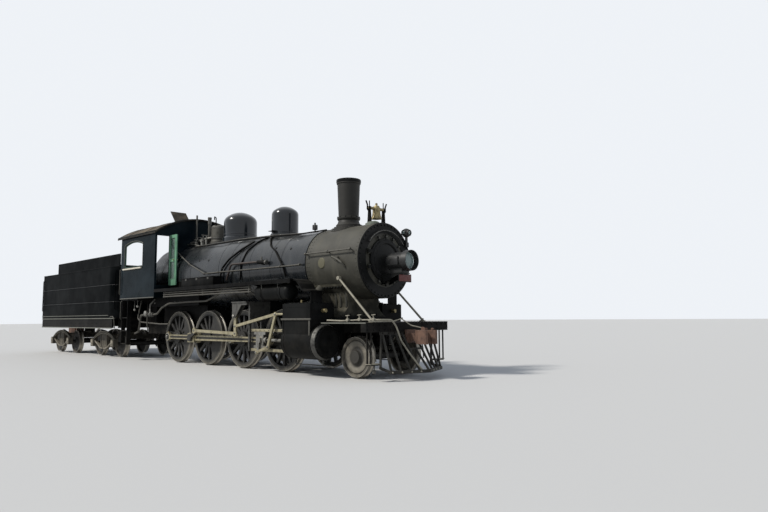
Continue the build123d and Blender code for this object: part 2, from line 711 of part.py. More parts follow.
# Valve gear links, held where the cranks at rest put them
def valve_gear(side):
    """Eccentric rod, link, radius rod, combination lever, union link and valve stem of one side."""
    y0 = side * (GEAR_Y - GEAR_THICK / 2)
    y1 = side * (GEAR_Y + GEAR_THICK / 2)
    along, up = CRANK_DIRECTION[side]
    eccentric = (MAIN_X + up * ECCENTRIC, DRIVER_Z - along * ECCENTRIC)
    trunnion = (TRUNNION_X, TRUNNION_Z)
    foot = meet(eccentric, ECCENTRIC_ROD, trunnion, LINK_FOOT, -1)
    swing = ((foot[0] - trunnion[0]) / LINK_FOOT, (foot[1] - trunnion[1]) / LINK_FOOT)
    top = (trunnion[0] - swing[0] * LINK_HEAD, trunnion[1] - swing[1] * LINK_HEAD)
    die = (trunnion[0] + swing[0] * LINK_BLOCK, trunnion[1] + swing[1] * LINK_BLOCK)
    lever_top = (die[0] + math.sqrt(RADIUS_ROD**2 - (VALVE_Z - die[1]) ** 2), VALVE_Z)
    arm = (crosshead_x(side), DRIVER_Z - ARM_DROP)
    lever_foot = meet(arm, UNION_LINK, lever_top, LEVER, -1)
    gear = link(eccentric, foot, 72, 78, y0, y1)
    gear += link(foot, top, 96, 60, y0, y1)
    gear += link(die, lever_top, 66, 52, y0, y1)
    gear += link(lever_top, lever_foot, 70, 46, y0, y1)
    gear += link(lever_foot, arm, 56, 44, y0, y1)
    gear += bar((lever_top[0], side * GEAR_Y, VALVE_Z), (CHEST_BACK + 60, side * GEAR_Y, VALVE_Z), 26)
    pin_in, pin_out = side * (GEAR_Y - 62), side * (GEAR_Y + 62)
    gear += bar((trunnion[0], pin_in, trunnion[1]), (trunnion[0], pin_out, trunnion[1]), 30)
    return gear


keep("valve_gear", group([valve_gear(side) for side in SIDES]))


# Boiler, smokebox and firebox
DOOR_R = 480.0
DOOR_THICK = 42.0
DOOR_X0 = SMOKEBOX_FRONT + SEAT
DOOR_HINGE_X = DOOR_X0 + 42
DOOR_HINGE_Y = -DOOR_R - 45
DOOR_HINGE_ZS = (BOILER_Z - 170, BOILER_Z + 170)
DOOR_STRAP = 70.0
DOOR_PIN_R = 14.0


def boiler_jacket():
    """The lagged boiler with its bands."""
    jacket = turned_x(boiler_profile(0), 0, BOILER_Z)
    bands = []
    for x in (MAIN_X + 1600, MAIN_X + 3250, SMOKEBOX_BACK - 40):
        radius = boiler_radius(x)
        half = 30
        ring = [
            (x - half, radius - 40),
            (x - half, boiler_radius(x - half) + 5),
            (x + half, boiler_radius(x + half) + 5),
            (x + half, radius - 40),
        ]
        bands.append(turned_x(ring, 0, BOILER_Z))
    return jacket + bands


def smokebox():
    """The smokebox shell and its front plate with the hole for the door."""
    wall = SMOKEBOX_WALL
    back, front = SMOKEBOX_BACK + SEAT, SMOKEBOX_FRONT
    points = [
        (back, SMOKEBOX_R - wall),
        (back, SMOKEBOX_R),
        (front, SMOKEBOX_R),
        (front, DOOR_HOLE_R),
        (front - FRONT_PLATE, DOOR_HOLE_R),
        (front - FRONT_PLATE, SMOKEBOX_R - wall),
    ]
    shell = turned_x(points, 0, BOILER_Z)
    for z in DOOR_HINGE_ZS:
        near, far = DOOR_STRAP / 2 + SEAT, DOOR_STRAP / 2 + 22
        for up in (-1, 1):
            y0, y1 = DOOR_HINGE_Y - 22, DOOR_HINGE_Y + 22
            shell += block(front - 1, DOOR_HINGE_X + 22, y0, y1, z + up * near, z + up * far)
        shell += bar((DOOR_HINGE_X, DOOR_HINGE_Y, z - far), (DOOR_HINGE_X, DOOR_HINGE_Y, z + far), DOOR_PIN_R)
    stack_hole = bar((STACK_X, 0, BOILER_Z + 400), (STACK_X, 0, BOILER_Z + 900), STACK_BORE)
    return shell - stack_hole


def firebox():
    """The lower firebox with its sloping foundation and the two ashpan hoppers."""
    box = block(BACKHEAD_X, FIREBOX_FRONT, -FIREBOX_HALF, FIREBOX_HALF, FIREBOX_Z0, BOILER_Z)
    rear, front = BACKHEAD_X + 100, FIREBOX_FRONT - 150
    half = WHEEL_BACK - 60
    box += block(rear, front, -half, half, FRAME_TOP + 40, FIREBOX_Z0)
    hopper = FRAME_Y0 - 30
    last = DRIVER_XS[-1]
    box += block(rear + 100, last - AXLE_R - 120, -hopper, hopper, 560, FRAME_TOP + 40)
    box += block(last + AXLE_R + 120, front - 100, -hopper, hopper, 560, FRAME_TOP + 40)
    return box - BOILER_ENVELOPE


keep("boiler_jacket", boiler_jacket())
keep("smokebox", smokebox())
keep("firebox", firebox())


def backhead():
    """The plate that closes the boiler in the cab, with fire door, gauge and throttle."""
    x1 = BACKHEAD_X - SEAT
    x0 = x1 - 30
    plate = bar((x0, 0, BOILER_Z), (x1, 0, BOILER_Z), BARREL_R - 40)
    door = block(x0 - 40, x0 + 5, -230, 230, 2150, 2450)
    gauge = bar((x0 - 60, -320, 3050), (x0 + 5, -320, 3050), 110)
    column = bar((x0 - 50, 260, 2650), (x0 - 50, 260, 3050), 30)
    column_feet = [block(x0 - 60, x0 + 5, 235, 285, z, z + 40) for z in (2680, 2980)]
    pivot = bar((x0 - 70, -120, 3100), (x0 + 5, -120, 3100), 35)
    throttle = bar((x0 - 70, -120, 3100), (x0 - 330, -520, 2950), 18)
    return plate + [door, gauge, column, pivot, throttle] + column_feet


keep("backhead", backhead())


# Mountings on top of the boiler
def dome(x, radius, top_z, flare, cut):
    """A dome with a rounded shoulder and a flatter crown, seated on the boiler."""
    corner = 0.45 * radius
    crown = 1.3 * radius
    crown_z = top_z - crown
    rise = math.sqrt((crown - corner) ** 2 - (radius - corner) ** 2)
    lean = math.atan2(radius - corner, rise)
    half_lean = (math.pi / 2 - lean) / 2
    base_z = BOILER_Z + 600
    skirt_z = BOILER_Z + boiler_radius(x) + 15
    start = (radius, crown_z + rise)
    meeting = (crown * math.sin(lean), crown_z + crown * math.cos(lean))
    on_corner = (
        radius - corner + corner * math.cos(half_lean),
        crown_z + rise + corner * math.sin(half_lean),
    )
    on_crown = (crown * math.sin(lean / 2), crown_z + crown * math.cos(lean / 2))
    face = make_face(
        [
            Line((0, base_z), (radius + flare, base_z)),
            Line((radius + flare, base_z), (radius + flare, skirt_z)),
            Line((radius + flare, skirt_z), (radius, skirt_z + flare)),
            Line((radius, skirt_z + flare), start),
            ThreePointArc(start, on_corner, meeting),
            ThreePointArc(meeting, on_crown, (0, top_z)),
            Line((0, top_z), (0, base_z)),
        ]
    )
    return Pos(x, 0, 0) * revolve(Plane.XZ * face, Axis.Z) - cut


STEAM_DOME_X = MAIN_X + 240.0
SAND_DOME_X = MAIN_X + 2320.0
STEAM_DOME_TOP = BOILER_Z + BARREL_R + 770.0
SAND_DOME_TOP = BOILER_Z + BARREL_R + 670.0
keep("steam_dome", dome(STEAM_DOME_X, 464.0, STEAM_DOME_TOP, 36, BOILER_ENVELOPE))
keep("sand_dome", dome(SAND_DOME_X, 349.0, SAND_DOME_TOP, 28, BOILER_ENVELOPE))


def smokestack():
    """A straight tapered stack with a lip, on a flared and bolted base."""
    bottom = BOILER_Z + 500
    seat_z = BOILER_Z + SMOKEBOX_R
    points = [
        (STACK_BORE, bottom),
        (300, bottom),
        (300, seat_z + 60),
        (258, seat_z + 115),
        (236, seat_z + 200),
        (268, 4400),
        (284, 4405),
        (284, 4508),
        (215, 4508),
        (STACK_BORE, seat_z + 300),
    ]
    stack = turned_z(points, STACK_X, 0)
    for radius, rise in STACK_STEPS:
        step = bar((STACK_X, 0, bottom), (STACK_X, 0, seat_z + rise), radius)
        step &= bar((STACK_X - radius, 0, BOILER_Z), (STACK_X + radius, 0, BOILER_Z), SMOKEBOX_R + rise)
        stack += step
    stack -= bar((STACK_X, 0, bottom - 1), (STACK_X, 0, seat_z + 100), STACK_BORE)
    return stack - SMOKEBOX_ENVELOPE


keep("smokestack", smokestack())


def turret():
    """The steam turret with the whistle and two safety valves ahead of the cab."""
    x = MAIN_X - 880.0
    base = turned_z(
        [
            (0, BOILER_Z + 700),
            (250, BOILER_Z + 700),
            (250, 3550),
            (235, 3570),
            (235, 3990),
            (190, 4030),
            (0, 4030),
        ],
        x,
        0,
    )
    base += bar((x - 150, -40, 3600), (x - 560, -40, 3700), 60)
    base += bar((x - 500, -40, 3300), (x - 500, -40, 4300), 42)
    base += bar((x - 500, -40, 4340 - 60), (x - 500, -40, 4340), 60)
    base += bar((x - 500, 200, 3300), (x - 500, 200, 4120), 55)
    base += bar((x - 900, -240, 3200), (x - 900, -240, 4430), 26)
    return base - BOILER_ENVELOPE


keep("turret", turret())


# Front of the smokebox: door, headlight, marker lamp
HEADLIGHT_R = 195.0
HEADLIGHT_Z = 2468.0
HEADLIGHT_X0 = MAIN_X + 6130.0
HEADLIGHT_X1 = MAIN_X + 6600.0


def smokebox_door():
    """A dished door with its rim and the shelf that carries the headlight."""
    x0 = DOOR_X0
    rim_x = x0 + DOOR_THICK
    points = [(x0, 0), (x0, DOOR_R), (rim_x, DOOR_R), (rim_x + 5, DOOR_R - 60), (x0 + 75, 0)]
    door = turned_x(points, 0, BOILER_Z)
    shelf_z = HEADLIGHT_Z - HEADLIGHT_R - 60
    door += block(x0 + 20, HEADLIGHT_X1 - 80, -150, 150, shelf_z - 20, shelf_z)
    for y in (-130, 130):
        brace = [(x0 + 20, shelf_z - 240), (x0 + 20, shelf_z - 10), (HEADLIGHT_X1 - 120, shelf_z - 10)]
        door += plate_xz(brace, y - 10, y + 10)
    for z in DOOR_HINGE_ZS:
        half = DOOR_STRAP / 2
        door += block(x0 + 25, x0 + 60, DOOR_HINGE_Y, -150, z - half, z + half)
        door += bar((DOOR_HINGE_X, DOOR_HINGE_Y, z - half), (DOOR_HINGE_X, DOOR_HINGE_Y, z + half), 30)
        door -= bar(
            (DOOR_HINGE_X, DOOR_HINGE_Y, z - half - 1),
            (DOOR_HINGE_X, DOOR_HINGE_Y, z + half + 1),
            DOOR_PIN_R + RUN,
        )
    return door


def headlight():
    """A round headlight case with its visor, lens and feet."""
    shelf_z = HEADLIGHT_Z - HEADLIGHT_R - 60
    case = bar((HEADLIGHT_X0, 0, HEADLIGHT_Z), (HEADLIGHT_X1 - 30, 0, HEADLIGHT_Z), HEADLIGHT_R)
    rim = bar((HEADLIGHT_X1 - 50, 0, HEADLIGHT_Z), (HEADLIGHT_X1 + 20, 0, HEADLIGHT_Z), HEADLIGHT_R + 22)
    rim -= bar((HEADLIGHT_X1 - 20, 0, HEADLIGHT_Z), (HEADLIGHT_X1 + 40, 0, HEADLIGHT_Z), HEADLIGHT_R - 8)
    half = HEADLIGHT_R + 20
    x0, x1 = HEADLIGHT_X0 + 40, HEADLIGHT_X1 - 110
    boards = block(x0, x1, -half, half, HEADLIGHT_Z - 85, HEADLIGHT_Z + 85)
    feet = block(HEADLIGHT_X0 + 60, HEADLIGHT_X1 - 90, -110, 110, shelf_z + SEAT, HEADLIGHT_Z - 100)
    return case + [rim, boards, feet]


keep("smokebox_door", smokebox_door())
keep("headlight", headlight())


def marker_lamp():
    """A globe lamp on a bent bracket, high on the left of the smokebox front."""
    x, y, z = SMOKEBOX_FRONT + 40, 690.0, 3190.0
    globe = Pos(x, y, z) * Sphere(105)
    stem = bar((x, y, z - 250), (x, y, z - 60), 32)
    foot = block(SMOKEBOX_FRONT + SEAT, x + 35, y - 45, y + 45, z - 330, z - 220)
    return globe + [stem, foot]


keep("marker_lamp", marker_lamp())

# Bell in its stand on the front of the smokebox
BELL_X = MAIN_X + 5670.0
BELL_AXIS_Z = 3700.0
BELL_MOUTH_Z = 3468.0
BELL_POST_Y = 222.0


def bell():
    """The bell with its yoke and clapper, hung from a cross pin."""
    z = BELL_MOUTH_Z
    shell = turned_z(
        [
            (0, z + 270),
            (0, z + 305),
            (60, z + 298),
            (84, z + 250),
            (90, z + 130),
            (106, z + 48),
            (126, z),
            (112, z),
            (94, z + 48),
            (78, z + 130),
            (70, z + 238),
            (40, z + 270),
        ],
        BELL_X,
        0,
    )
    finial = turned_z([(0, z + 300), (30, z + 300), (22, z + 325), (34, z + 345), (0, z + 372)], BELL_X, 0)
    tongue = [(0, z + 10), (20, z + 16), (20, z + 50), (8, z + 60), (8, z + 280), (0, z + 280)]
    clapper = turned_z(tongue, BELL_X, 0)
    end = BELL_POST_Y - 16 - SEAT
    hub = [bar((BELL_X, side * 70, BELL_AXIS_Z), (BELL_X, side * end, BELL_AXIS_Z), 34) for side in SIDES]
    pin = [
        bar((BELL_X, side * 100, BELL_AXIS_Z), (BELL_X, side * (BELL_POST_Y + 30), BELL_AXIS_Z), 14)
        for side in SIDES
    ]
    return shell + [finial, clapper] + hub + pin


def bell_stand():
    """Two uprights on a saddle plate."""
    base = block(BELL_X - 90, BELL_X + 90, -265, 265, 3200, 3352)
    for side in SIDES:
        y0, y1 = side * (BELL_POST_Y - 16), side * (BELL_POST_Y + 16)
        upright = plate_xz(
            [
                (BELL_X - 60, 3300),
                (BELL_X + 60, 3300),
                (BELL_X + 28, BELL_AXIS_Z + 36),
                (BELL_X - 28, BELL_AXIS_Z + 36),
            ],
            y0,
            y1,
        )
        upright += bar((BELL_X, side * BELL_POST_Y, BELL_AXIS_Z + 30), (BELL_X, side * BELL_POST_Y, 3860), 11)
        hole = bar((BELL_X, y0 - side, BELL_AXIS_Z), (BELL_X, y1 + side, BELL_AXIS_Z), 14 + RUN)
        base += upright - hole
    return base - SMOKEBOX_ENVELOPE


keep("bell", bell())
keep("bell_stand", bell_stand())

# Cab
ROOF_RISE = ROOF_TOP - CAB_EAVE
ROOF_R = (ROOF_HALF**2 + ROOF_RISE**2) / (2 * ROOF_RISE)
ROOF_CENTRE_Z = ROOF_TOP - ROOF_R
HATCH_X = MAIN_X - 3090.0
HATCH_LENGTH = 520.0
HATCH_HALF = 270.0
HATCH_RIM = 25.0
HATCH_RIM_Z = ROOF_TOP + 28.0
HATCH_THICK = 16.0
HATCH_PIN_R = 14.0
HATCH_LUG = 22.0
HATCH_OPEN = 49.0
HATCH_PIN_Z = HATCH_RIM_Z + SEAT + HATCH_THICK / 2


def roof_z(y):
    """Height of the outside of the roof at a distance from the middle."""
    return ROOF_CENTRE_Z + math.sqrt(ROOF_R**2 - y**2)


def cab_side(side):
    """A side wall with its arched window."""
    wall = side_block(side, CAB_REAR, CAB_FRONT, CAB_HALF - CAB_WALL, CAB_HALF, CAB_Z0, roof_z(CAB_HALF))
    middle = (WINDOW_X0 + WINDOW_X1) / 2
    face = make_face(
        [
            Line((WINDOW_X0, WINDOW_Z1), (WINDOW_X0, WINDOW_Z0)),
            Line((WINDOW_X0, WINDOW_Z0), (WINDOW_X1, WINDOW_Z0)),
            Line((WINDOW_X1, WINDOW_Z0), (WINDOW_X1, WINDOW_Z1)),
            ThreePointArc((WINDOW_X1, WINDOW_Z1), (middle, WINDOW_Z1 + WINDOW_RISE), (WINDOW_X0, WINDOW_Z1)),
        ]
    )
    window = extrude(Plane.XZ.offset(-CAB_HALF - 100) * face, amount=2 * CAB_HALF + 200)
    roof = bar((ROOF_REAR, 0, ROOF_CENTRE_Z), (ROOF_FRONT, 0, ROOF_CENTRE_Z), ROOF_R - ROOF_THICK - SEAT)
    under_roof = wall & roof
    return under_roof - window


def cab_front():
    """The front wall, cut round the boiler, with a narrow doorway on each side."""
    x0 = CAB_FRONT - CAB_WALL
    inner = CAB_HALF - CAB_WALL - SEAT
    wall = block(x0, CAB_FRONT, -inner, inner, CAB_Z0, ROOF_TOP)
    roof_in = ROOF_R - ROOF_THICK - SEAT
    wall = wall & bar((x0 - 10, 0, ROOF_CENTRE_Z), (CAB_FRONT + 10, 0, ROOF_CENTRE_Z), roof_in)
    wall -= BOILER_ENVELOPE
    wall -= block(x0 - 1, CAB_FRONT + 1, -FIREBOX_HALF - SEAT, FIREBOX_HALF + SEAT, CAB_Z0 - 10, BOILER_Z)
    for side in SIDES:
        wall -= side_block(side, x0 - 1, CAB_FRONT + 1, DOORWAY_Y0, DOORWAY_Y1, DOORWAY_Z0, DOORWAY_Z1)
        x, y = CAB_FRONT + CAB_HINGE_OFF, side * (DOORWAY_Y0 - CAB_HINGE_IN)
        for z in CAB_HINGE_ZS:
            wall += block(CAB_FRONT - 1, x + 10, y - side * 14, y + side * (CAB_DOOR_GAP - 3), z - 20, z)
            wall += bar((x, y, z - 10), (x, y, z + CAB_HINGE_H), CAB_HINGE_PIN_R)
    return wall


def cab_roof():
    """An arched roof with a raised rim round its hatch opening."""
    outer = bar((ROOF_REAR, 0, ROOF_CENTRE_Z), (ROOF_FRONT, 0, ROOF_CENTRE_Z), ROOF_R)
    inner = bar((ROOF_REAR - 1, 0, ROOF_CENTRE_Z), (ROOF_FRONT + 1, 0, ROOF_CENTRE_Z), ROOF_R - ROOF_THICK)
    slab = block(ROOF_REAR, ROOF_FRONT, -ROOF_HALF, ROOF_HALF, CAB_EAVE - 60, ROOF_TOP + 10)
    roof = (outer - inner) & slab
    x0, x1 = HATCH_X - HATCH_LENGTH, HATCH_X - HATCH_PIN_R - AIR
    roof += block(x0, x1, -HATCH_HALF, HATCH_HALF, ROOF_TOP - 30, HATCH_RIM_Z)
    for side in SIDES:
        y0, y1 = HATCH_HALF + SEAT, HATCH_HALF + HATCH_LUG
        roof += side_block(side, HATCH_X - 25, HATCH_X + 25, y0, y1, ROOF_TOP - 60, HATCH_PIN_Z + 20)
        start, end = (HATCH_X, side * (y0 - 1), HATCH_PIN_Z), (HATCH_X, side * (y1 + 1), HATCH_PIN_Z)
        roof -= bar(start, end, HATCH_PIN_R / 2 + RUN)
    hole = HATCH_HALF - HATCH_RIM
    return roof - block(x0 + HATCH_RIM, x1 - HATCH_RIM, -hole, hole, ROOF_TOP - 200, HATCH_RIM_Z + 1)


def roof_hatch():
    """The hatch flap, standing open on its front edge, which is a round bar in two lugs."""
    flap = block(-HATCH_LENGTH, 0, -HATCH_HALF, HATCH_HALF, -HATCH_THICK / 2, HATCH_THICK / 2)
    flap += bar((0, -HATCH_HALF, 0), (0, HATCH_HALF, 0), HATCH_PIN_R)
    pin_end = HATCH_HALF + HATCH_LUG
    flap += bar((0, -pin_end, 0), (0, pin_end, 0), HATCH_PIN_R / 2)
    return Pos(HATCH_X, 0, HATCH_PIN_Z) * Rot(0, HATCH_OPEN, 0) * flap


def cab_door(side, open_degrees):
    """A narrow framed door on the face of the cab front, turned about the pins at its inner edge."""
    y0, z0 = CAB_DOOR_GAP, -CAB_DOOR_GAP
    width = DOORWAY_Y1 + CAB_DOOR_LAP - DOORWAY_Y0 + CAB_HINGE_IN - y0
    height = DOORWAY_Z1 - DOORWAY_Z0 + 2 * CAB_DOOR_GAP
    x1 = -CAB_HINGE_BACK
    x0 = x1 - CAB_DOOR_THICK
    leaf = block(x0, x1, y0, y0 + width, z0, z0 + height)
    for low, high in ((0.12, 0.47), (0.52, 0.94)):
        pane_y0, pane_y1 = y0 + 0.2 * width, y0 + 0.8 * width
        leaf -= block(x0 - 1, x1 + 1, pane_y0, pane_y1, z0 + low * height, z0 + high * height)
    for hinge_z in CAB_HINGE_ZS:
        low = hinge_z - DOORWAY_Z0 + SEAT
        high = low + CAB_HINGE_H - SEAT
        leaf += block(x1 - 4, x1 + 12, 0, 0.9 * width, low + 10, high - 10)
        leaf += bar((0, 0, low), (0, 0, high), CAB_HINGE_R)
        leaf -= bar((0, 0, low - 1), (0, 0, high + 1), CAB_HINGE_PIN_R + RUN)
    if side == RIGHT:
        leaf = mirror(leaf, Plane.XZ)
    turn = -side * open_degrees
    pin_y = side * (DOORWAY_Y0 - CAB_HINGE_IN)
    return Pos(CAB_FRONT + CAB_HINGE_OFF, pin_y, DOORWAY_Z0) * Rot(0, 0, turn) * leaf


def cab_deck():
    """The cab floor on its supports, with two seat boxes and the steps."""
    inner = CAB_HALF - CAB_WALL - SEAT
    x0, x1 = CAB_REAR, BACKHEAD_X - 30 - 2 * SEAT
    deck = block(x0, x1, -inner, inner, FLOOR_Z0, FLOOR_Z0 + FLOOR_THICK)
    for side in SIDES:
        deck += side_block(side, x0 + 30, x0 + 700, FRAME_Y0, FRAME_Y1, FRAME_TOP + SEAT, FLOOR_Z0)
        deck += side_block(side, x0 + 350, x1 - 20, 1080, inner, FLOOR_Z0 + FLOOR_THICK, 2450)
        hanger = side_block(side, x0 + 40, x0 + 60, 1300, 1430, 480, FLOOR_Z0)
        hanger += side_block(side, x0 + 440, x0 + 460, 1300, 1430, 480, FLOOR_Z0)
        for z in (500, 900, 1300):
            hanger += side_block(side, x0 + 40, x0 + 460, 1250, 1430, z, z + 25)
        deck += hanger
    return deck


keep("cab_sides", group([cab_side(side) for side in SIDES]))
keep("cab_front", cab_front())
keep("cab_roof", cab_roof())
keep("roof_hatch", roof_hatch())
keep("cab_door_right", cab_door(RIGHT, 90))
keep("cab_door_left", cab_door(LEFT, 0))
keep("cab_deck", cab_deck())


# Running boards with their brackets, and what hangs from them
def running_board(side):
    """A running board with a curved drop to the steam chest."""
    y0, y1 = BOARD_IN, CAB_HALF
    low, high = BOARD_Z - BOARD_THICK, BOARD_Z
    bend_x = BOARD_FRONT
    top = [(CAB_FRONT + SEAT, high), (bend_x, high)]
    top += [(bend_x + dx, high - drop) for dx, drop in BOARD_DROP]
    under = [(x - BOARD_THICK * lean, z - BOARD_THICK) for (x, z), lean in zip(top, BOARD_LEAN)]
    face = outline(top + under[::-1])
    low_y, high_y = sorted((side * y0, side * (y1 - 80)))
    board = extrude(Plane.XZ.offset(-high_y) * face, amount=high_y - low_y)
    foot_x = top[-1][0]
    foot_z = top[-1][1] - BOARD_THICK
    board += side_block(side, foot_x - 40, foot_x - 20, y0 + 40, y1 - 120, CHEST_Z1 + SEAT, foot_z + 1)
    board += side_block(side, CAB_FRONT + SEAT, bend_x, y1 - 90, y1, low, high)
    board += side_block(side, CAB_FRONT + SEAT, bend_x, y1 - 20, y1, low - 60, high)
    for x in (MAIN_X - 1000, MAIN_X + 500, MAIN_X + 1700, MAIN_X + 2900, MAIN_X + 4260):
        near, far = side * 500, side * (y1 - 40)
        corners = [(near, low - 260), (near, low), (far, low), (far, low - 30)]
        bracket = plate_yz(corners[::side], x - 10, x + 10)
        cut = SMOKEBOX_ENVELOPE if x > SMOKEBOX_BACK else BOILER_ENVELOPE
        bracket -= cut
        if x < FIREBOX_FRONT:
            bracket -= side_block(side, x - 11, x + 11, 0, FIREBOX_HALF + SEAT, FIREBOX_Z0, BOILER_Z)
        board += bracket
    return board


keep("running_boards", group([running_board(side) for side in SIDES]))


def air_tank(side):
    """An air reservoir hung under a running board on two straps."""
    y = side * TANK_Y
    tank = bar((TANK_X0 + 60, y, TANK_Z), (TANK_X1 - 60, y, TANK_Z), TANK_R)
    tank += bar((TANK_X0, y, TANK_Z), (TANK_X1, y, TANK_Z), TANK_R - 40)
    top = BOARD_Z - BOARD_THICK - SEAT
    for x in (TANK_X0 + 250, TANK_X1 - 250):
        tank += bar((x - 25, y, TANK_Z), (x + 25, y, TANK_Z), TANK_R + 12)
        tank += block(x - 25, x + 25, y - 20, y + 20, TANK_Z + TANK_R, top)
    return tank


keep("air_tanks", group([air_tank(side) for side in SIDES]))

# Cooling coil pipes under the board: height below the board, distance from the middle
COIL_TABLE = ((110, 1390), (170, 1390), (230, 1390))


def cooling_pipes(side):
    """Parallel air pipes hung under a running board."""
    x0, x1 = MAIN_X - 1500, MAIN_X + 2850
    top = BOARD_Z - BOARD_THICK - SEAT
    pipes = []
    for drop, y in COIL_TABLE:
        pipes.append(bar((x0, side * y, BOARD_Z - drop), (x1, side * y, BOARD_Z - drop), 19))
    hangers = []
    for x in (x0 + 60, (x0 + x1) / 2, x1 - 60):
        hangers.append(side_block(side, x - 15, x + 15, 1366, 1414, BOARD_Z - 255, top))
    return hangers[0] + pipes + hangers[1:]


keep("cooling_pipes", group([cooling_pipes(side) for side in SIDES]))


def air_pump():
    """A steam air pump of two stages, hung on the left of the boiler."""
    x, y = MAIN_X + 2900, BARREL_R + 205
    pump = bar((x, y, 2290), (x, y, 2620), 165)
    pump += bar((x, y, 2800), (x, y, 3120), 140)
    pump += bar((x, y, 2600), (x, y, 2820), 60)
    pump += bar((x, y, 3100), (x, y, 3160), 90)
    pump += block(x - 100, x + 100, 600, y, 2860, 2900) - BOILER_ENVELOPE
    pump += block(x - 100, x + 100, 600, y, 2540, 2580) - BOILER_ENVELOPE
    return pump


keep("air_pump", air_pump())


# Handrails on the boiler: X, distance from the middle and Z of each knob
RAIL_R = 17.0
KNOB_R = 30.0
KNOB_HALF = 22.0
KNOB_INSET = 12.0
POST_R = 13.0
POST_INSET = 21.0
RAIL_Z = BOILER_Z - 28.0
BOX_RAIL_Z = BOILER_Z + 202.0
BOILER_RAIL = (
    (MAIN_X - 1410.0, BARREL_R - 75.0, BOILER_Z + 572.0),
    (MAIN_X - 670.0, BARREL_R + 45.0, BOILER_Z + 272.0),
    (MAIN_X + 160.0, BARREL_R + 70.0, RAIL_Z),
    (TAPER_BACK, BARREL_R + 70.0, RAIL_Z),
    (TAPER_FRONT + 90.0, FRONT_COURSE_R + 70.0, RAIL_Z),
    (SMOKEBOX_BACK - 120.0, FRONT_COURSE_R + 70.0, RAIL_Z),
)
BOX_RAIL_XS = (SMOKEBOX_BACK + 80.0, SMOKEBOX_FRONT - 890.0, SMOKEBOX_FRONT - 160.0)


def rail_run(start, end, radius):
    """A bar that stops short of the middle of the knobs at its two ends."""
    share = KNOB_INSET / math.dist(start, end)
    near = [a + (b - a) * share for a, b in zip(start, end)]
    far = [b + (a - b) * share for a, b in zip(start, end)]
    return bar(near, far, radius)


def knob(side, x, y, z, cut):
    """A round eye on a post that stands on the boiler or the smokebox."""
    reach = math.hypot(y, z - BOILER_Z)
    inner = [part * 500 / reach for part in (y, z - BOILER_Z)]
    outer = [part * (1 - POST_INSET / reach) for part in (y, z - BOILER_Z)]
    foot = (x, side * inner[0], BOILER_Z + inner[1])
    post = bar(foot, (x, side * outer[0], BOILER_Z + outer[1]), POST_R) - cut
    return post + bar((x - KNOB_HALF, side * y, z), (x + KNOB_HALF, side * y, z), KNOB_R)


def knobbed_rail(side, start, knobs, cut):
    """A rail that runs from knob to knob, with a plain end ahead of the first knob if one is given."""
    rail = knob(side, *knobs[0], cut)
    if start:
        first = (knobs[0][0], side * knobs[0][1], knobs[0][2])
        rail += rail_run((start[0], side * start[1], start[2]), first, RAIL_R)
    for (x0, y0, z0), (x1, y1, z1) in zip(knobs[:-1], knobs[1:]):
        rail += rail_run((x0, side * y0, z0), (x1, side * y1, z1), RAIL_R)
        rail += knob(side, x1, y1, z1, cut)
    return rail


def handrail(side):
    """The long rail of the boiler, which rises to the cab, and the short one of the smokebox."""
    rear = (CAB_FRONT + 8, BARREL_R - 170, BOILER_Z + 782)
    box_knobs = [(x, SMOKEBOX_R + 65, BOX_RAIL_Z) for x in BOX_RAIL_XS]
    long_rail = knobbed_rail(side, rear, list(BOILER_RAIL), BOILER_ENVELOPE)
    return group([long_rail, knobbed_rail(side, None, box_knobs, SMOKEBOX_ENVELOPE)])


keep("handrails", group([handrail(side) for side in SIDES]))


# Front end: beam with its deck, braces, pilot and coupler
def pilot_beam():
    """The front beam with its deck sheet and a step at each end."""
    beam = block(BEAM_X0, BEAM_X1, -BEAM_HALF, BEAM_HALF, BEAM_Z0, BEAM_Z1)
    deck_back = CYLINDER_FRONT + 30
    beam += block(deck_back, BEAM_X0 + 10, -BEAM_HALF, BEAM_HALF, BEAM_Z1 - DECK_THICK, BEAM_Z1)
    for side in SIDES:
        rib_z1 = BEAM_Z1 - DECK_THICK + 1
        beam += side_block(side, deck_back, BEAM_X0 + 10, FRAME_Y0, FRAME_Y1, FRAME_TOP + SEAT, rib_z1)
        for x in (BEAM_X0 + 10, BEAM_X1 - 30):
            beam += side_block(side, x, x + 20, 1130, 1160, 320, BEAM_Z0)
        beam += side_block(side, BEAM_X0 + 10, BEAM_X1 - 10, 900, 1160, 320, 345)
    return beam


BRACE_TOP = (MAIN_X + 5280.0, 790.0, 2128.0)
BRACE_FOOT = (MAIN_X + 6300.0, 800.0, BEAM_Z1 + SEAT)


def brace_rod(side):
    """A stay from the side of the smokebox to the front deck."""
    top = (BRACE_TOP[0], side * BRACE_TOP[1], BRACE_TOP[2])
    foot = (BRACE_FOOT[0], side * BRACE_FOOT[1], BRACE_FOOT[2] + 40)
    stay = bar(top, foot, 24)
    stay += block(foot[0] - 60, foot[0] + 60, foot[1] - 45, foot[1] + 45, BRACE_FOOT[2], BRACE_FOOT[2] + 25)
    z0, z1 = BRACE_FOOT[2] + 10, BRACE_FOOT[2] + 75
    stay += block(foot[0] - 30, foot[0] + 30, foot[1] - 14, foot[1] + 14, z0, z1)
    pad = bar((top[0], side * 500, top[2]), (top[0], side * (BRACE_TOP[1] + 32), top[2]), 44)
    return stay + (pad - SMOKEBOX_ENVELOPE)


PILOT_TIP_X = MAIN_X + 7175.0
PILOT_SWEEP = 0.42
PILOT_BARS = 4
PILOT_PITCH = 195.0
PILOT_BAR_R = 24.0
PILOT_HALF = 820.0
PILOT_FOOT_Z0 = 150.0
PILOT_FOOT_Z1 = 215.0
PILOT_FOOT_W = 62.0
PILOT_CROSS = 0.42


